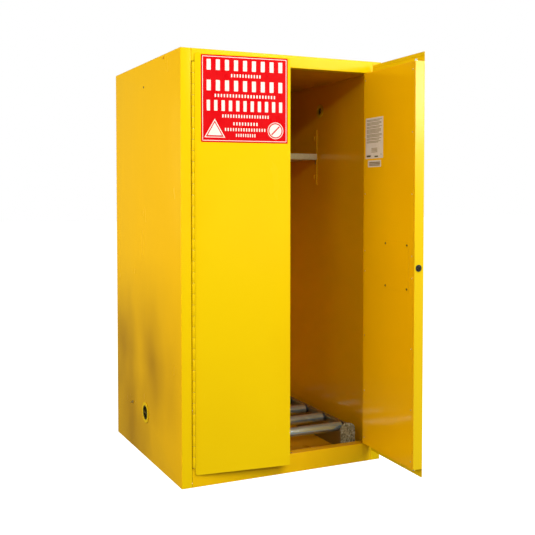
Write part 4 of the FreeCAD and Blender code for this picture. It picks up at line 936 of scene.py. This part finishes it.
# More bars on the paper labels, in the same shares: top, thickness, left, right
LOWER_LINES = tuple((0.745 + 0.030 * line, 0.014, 0.34, 0.68) for line in range(4))
FOOTER = ((0.915, 0.045, 0.06, 0.30), (0.935, 0.035, 0.52, 0.72), (0.900, 0.012, 0.86, 0.93))
SMALL_LINES = ((0.24, 0.16, 0.10, 0.92), (0.46, 0.16, 0.10, 0.92), (0.68, 0.12, 0.10, 0.92))


def paper_label(door, name, spans, lines, footer=()):
    """A pale label inside the right door with thin grey lines, and dark blocks at its foot."""
    u0, u1, z0, z1 = spans
    wide, tall = u1 - u0, z1 - z0
    face = door.box("right_door_panel")[1].y
    skin = face + PAPER_THICK
    bm = bmesh.new()
    add_prism(bm, rounded_rectangle(u0, z0, u1, z1, PAPER_ROUND), skin, face, door.matrix)
    place(name, bm, "right_door", PAPER)
    for ending, bars, ink in (("_lines", lines, GREY_INK), ("_foot", footer, DARK_INK)):
        if not bars:
            continue
        bm = bmesh.new()
        for top, thick, left, right in bars:
            low = (u0 + wide * left, z1 - tall * (top + thick))
            high = (u0 + wide * right, z1 - tall * top)
            add_prism(bm, rounded_rectangle(*low, *high, BAR_ROUND, 2), skin + INK, skin, door.matrix)
        place(name + ending, bm, "right_door", ink)


def fine_print():
    """The large label's paragraphs, each with a shorter last line."""
    lines = []
    top = LINE_TOP
    for count, reach in PARAGRAPHS:
        for line in range(count):
            last = line == count - 1
            lines.append((top, LINE_THICK, LINE_LEFT, reach - LAST_LINE_SHORTER if last else reach))
            top += LINE_PITCH
        top += PARAGRAPH_GAP
    return lines


def inner_labels(door):
    paper_label(door, "paper_label_large", LARGE_PAPER, (*fine_print(), *LOWER_LINES), FOOTER)
    paper_label(door, "paper_label_small", SMALL_PAPER, SMALL_LINES)


# ---- Floor, lights and camera --------------------------------------------------------

CAMERA_AT = Vector((-1.5092, -3.4264, 1.1039))
CAMERA_TURN = 25.514
CAMERA_DOWN = 2.204
LENS = 57.77
SENSOR = 36.0
SHIFT_UP = -0.0765
SEES_TO = 100.0
FLOOR_HALF = 30.0
FLOOR_THICK = 0.05
FLOOR_TONES = ((0.43, 0.43, 0.43), (0.40, 0.40, 0.40))
FLOOR_GLOW = 1.0

# Each light: name, degrees right of the cabinet's front, degrees up, distance, sizes, watts, colour
LIGHTS = (
    ("key", -24.0, 21.5, 6.0, (0.28, 0.28), 42.0, (1.00, 0.98, 0.88)),
    ("key_left", -45.0, 25.0, 5.0, (1.0, 1.0), 20.0, (1.00, 0.94, 0.70)),
    ("left_soft", -74.0, 6.0, 5.0, (1.2, 1.2), 60.0, (1.00, 0.95, 0.40)),
    ("high_front", 14.0, 49.0, 5.0, (3.0, 3.0), 258.0, (0.97, 1.00, 0.94)),
    ("glint_left", 22.5, 18.0, 5.0, (0.4, 0.5), 18.0, (0.97, 1.00, 1.00)),
    ("glint_right", 31.6, 14.5, 5.0, (0.6, 1.0), 25.0, (0.97, 1.00, 1.00)),
    ("right_soft", 45.0, 12.0, 5.0, (1.0, 1.0), 6.0, (0.97, 1.00, 0.90)),
    ("low_front", 10.0, 2.0, 3.2, (0.7, 0.7), 1.2, (0.98, 1.00, 0.90)),
    ("side_fill", -88.0, 5.0, 2.1, (0.9, 0.9), 7.2, (1.00, 0.95, 0.40)),
    ("side_back", -125.0, 10.0, 2.1, (0.9, 0.9), 7.2, (1.00, 0.95, 0.40)),
)
AIM = Vector((0.0, -0.2, 0.85))

# Light from all round, then half the width of its fade at the horizon and of the one at the sides
AMBIENT = {
    "front_high": (0.26, 0.27, 0.26),
    "front_low": (0.28, 0.29, 0.28),
    "back_high": (0.46, 0.42, 0.12),
    "back_low": (0.26, 0.23, 0.08),
}
HORIZON_BLEND = 0.25
SIDE_BLEND = 0.5
BACKDROP_RADIUS = 40.0
WHITE = (1.0, 1.0, 1.0, 1.0)


def lights():
    for name, across, up, distance, size, watts, colour in LIGHTS:
        turn, rise = math.radians(across), math.radians(up)
        away = Vector((math.sin(turn) * math.cos(rise), -math.cos(turn) * math.cos(rise), math.sin(rise)))
        data = bpy.data.lights.new(name, "AREA")
        data.shape = "RECTANGLE"
        data.size, data.size_y = size
        data.energy = watts
        data.color = colour
        lamp = bpy.data.objects.new(name, data)
        lamp.location = AIM + away * distance
        lamp.rotation_euler = away.to_track_quat("Z", "Y").to_euler()
        bpy.context.scene.collection.objects.link(lamp)


def surroundings():
    """Soft light from all round, neutral from the front and yellow from behind, and a white backdrop."""
    world = bpy.data.worlds.new("studio")
    world.use_nodes = True
    tree = world.node_tree
    direction = tree.nodes.new("ShaderNodeTexCoord").outputs["Generated"]
    split = tree.nodes.new("ShaderNodeSeparateXYZ")
    tree.links.new(direction, split.inputs["Vector"])

    def mixed(part, blend, first, second):
        """The first colour on the low side of a part of the direction, fading to the second."""
        share = tree.nodes.new("ShaderNodeMapRange")
        tree.links.new(split.outputs[part], share.inputs["Value"])
        share.inputs["From Min"].default_value = -blend
        share.inputs["From Max"].default_value = blend
        tone = tree.nodes.new("ShaderNodeMix")
        tone.data_type = "RGBA"
        tree.links.new(share.outputs["Result"], tone.inputs[0])
        for socket, value in ((tone.inputs[6], first), (tone.inputs[7], second)):
            if isinstance(value, tuple):
                socket.default_value = (*value, 1.0)
            else:
                tree.links.new(value, socket)
        return tone.outputs[2]

    front = mixed("Z", HORIZON_BLEND, AMBIENT["front_low"], AMBIENT["front_high"])
    back = mixed("Z", HORIZON_BLEND, AMBIENT["back_low"], AMBIENT["back_high"])
    tree.links.new(mixed("Y", SIDE_BLEND, front, back), tree.nodes["Background"].inputs["Color"])
    bpy.context.scene.world = world
    backdrop()


def backdrop():
    """A white dome that only the camera sees, so that it lights nothing."""
    bm = bmesh.new()
    bmesh.ops.create_uvsphere(bm, u_segments=64, v_segments=32, radius=BACKDROP_RADIUS)
    dome = bpy.data.objects.new("studio_backdrop", as_mesh("studio_backdrop", bm))
    bpy.context.scene.collection.objects.link(dome)
    white = Shader("studio_backdrop", (0.0, 0.0, 0.0), 1.0, specular=0.0)
    white.bsdf.inputs["Emission Color"].default_value = WHITE
    white.bsdf.inputs["Emission Strength"].default_value = 1.0
    dome.data.materials.append(white.material)
    for ray in ("diffuse", "glossy", "transmission", "volume_scatter", "shadow"):
        setattr(dome, "visible_" + ray, False)


def floor():
    """A pale floor that glows, so that it stays white round the cabinet; it throws no light on it."""
    bm = bmesh.new()
    add_block(bm, (-FLOOR_HALF, -FLOOR_HALF, -FLOOR_THICK), (FLOOR_HALF, FLOOR_HALF, 0.0))
    ground = bpy.data.objects.new("studio_floor", as_mesh("studio_floor", bm))
    bpy.context.scene.collection.objects.link(ground)
    pale = Shader("studio_floor", FLOOR_TONES[0], 0.8, specular=0.1)
    tone = pale.blend(pale.span(pale.noise(1.5, 4.0), 0.4, 0.7, 0.0, 0.3), *FLOOR_TONES)
    pale.bsdf.inputs["Emission Color"].default_value = WHITE
    pale.bsdf.inputs["Emission Strength"].default_value = FLOOR_GLOW
    ground.data.materials.append(pale.finish(tone))
    ground.visible_diffuse = False
    ground.visible_glossy = False


def camera():
    data = bpy.data.cameras.new("photo_view")
    data.lens = LENS
    data.sensor_width = SENSOR
    data.shift_y = SHIFT_UP
    data.clip_end = SEES_TO
    eye = bpy.data.objects.new("photo_view", data)
    eye.location = CAMERA_AT
    eye.rotation_euler = (math.radians(90 - CAMERA_DOWN), 0.0, math.radians(-CAMERA_TURN))
    bpy.context.scene.collection.objects.link(eye)
    bpy.context.scene.camera = eye
    bpy.context.scene.view_settings.view_transform = "Standard"


# ---- The cabinet ---------------------------------------------------------------------

left_door = Door("left_door_hinge")
right_door = Door("right_door_hinge")
sheet_metal()
hinge_leaf(left_door, "hinge_frame_leaf_left", 0, True)
hinge_leaf(right_door, "hinge_frame_leaf_right", 0, True)
hinge_leaf(left_door, "left_door_hinge_leaf", 1, False)
hinge_leaf(right_door, "right_door_hinge_leaf", 1, False)
top_screw()
seam_beads()
rivets(left_door, "left_door_rivets")
rivets(right_door, "right_door_rivets")
rollers()
rail_padding()
front_label(left_door)
inner_labels(right_door)
hidden_fittings()
floor()
surroundings()
lights()
camera()
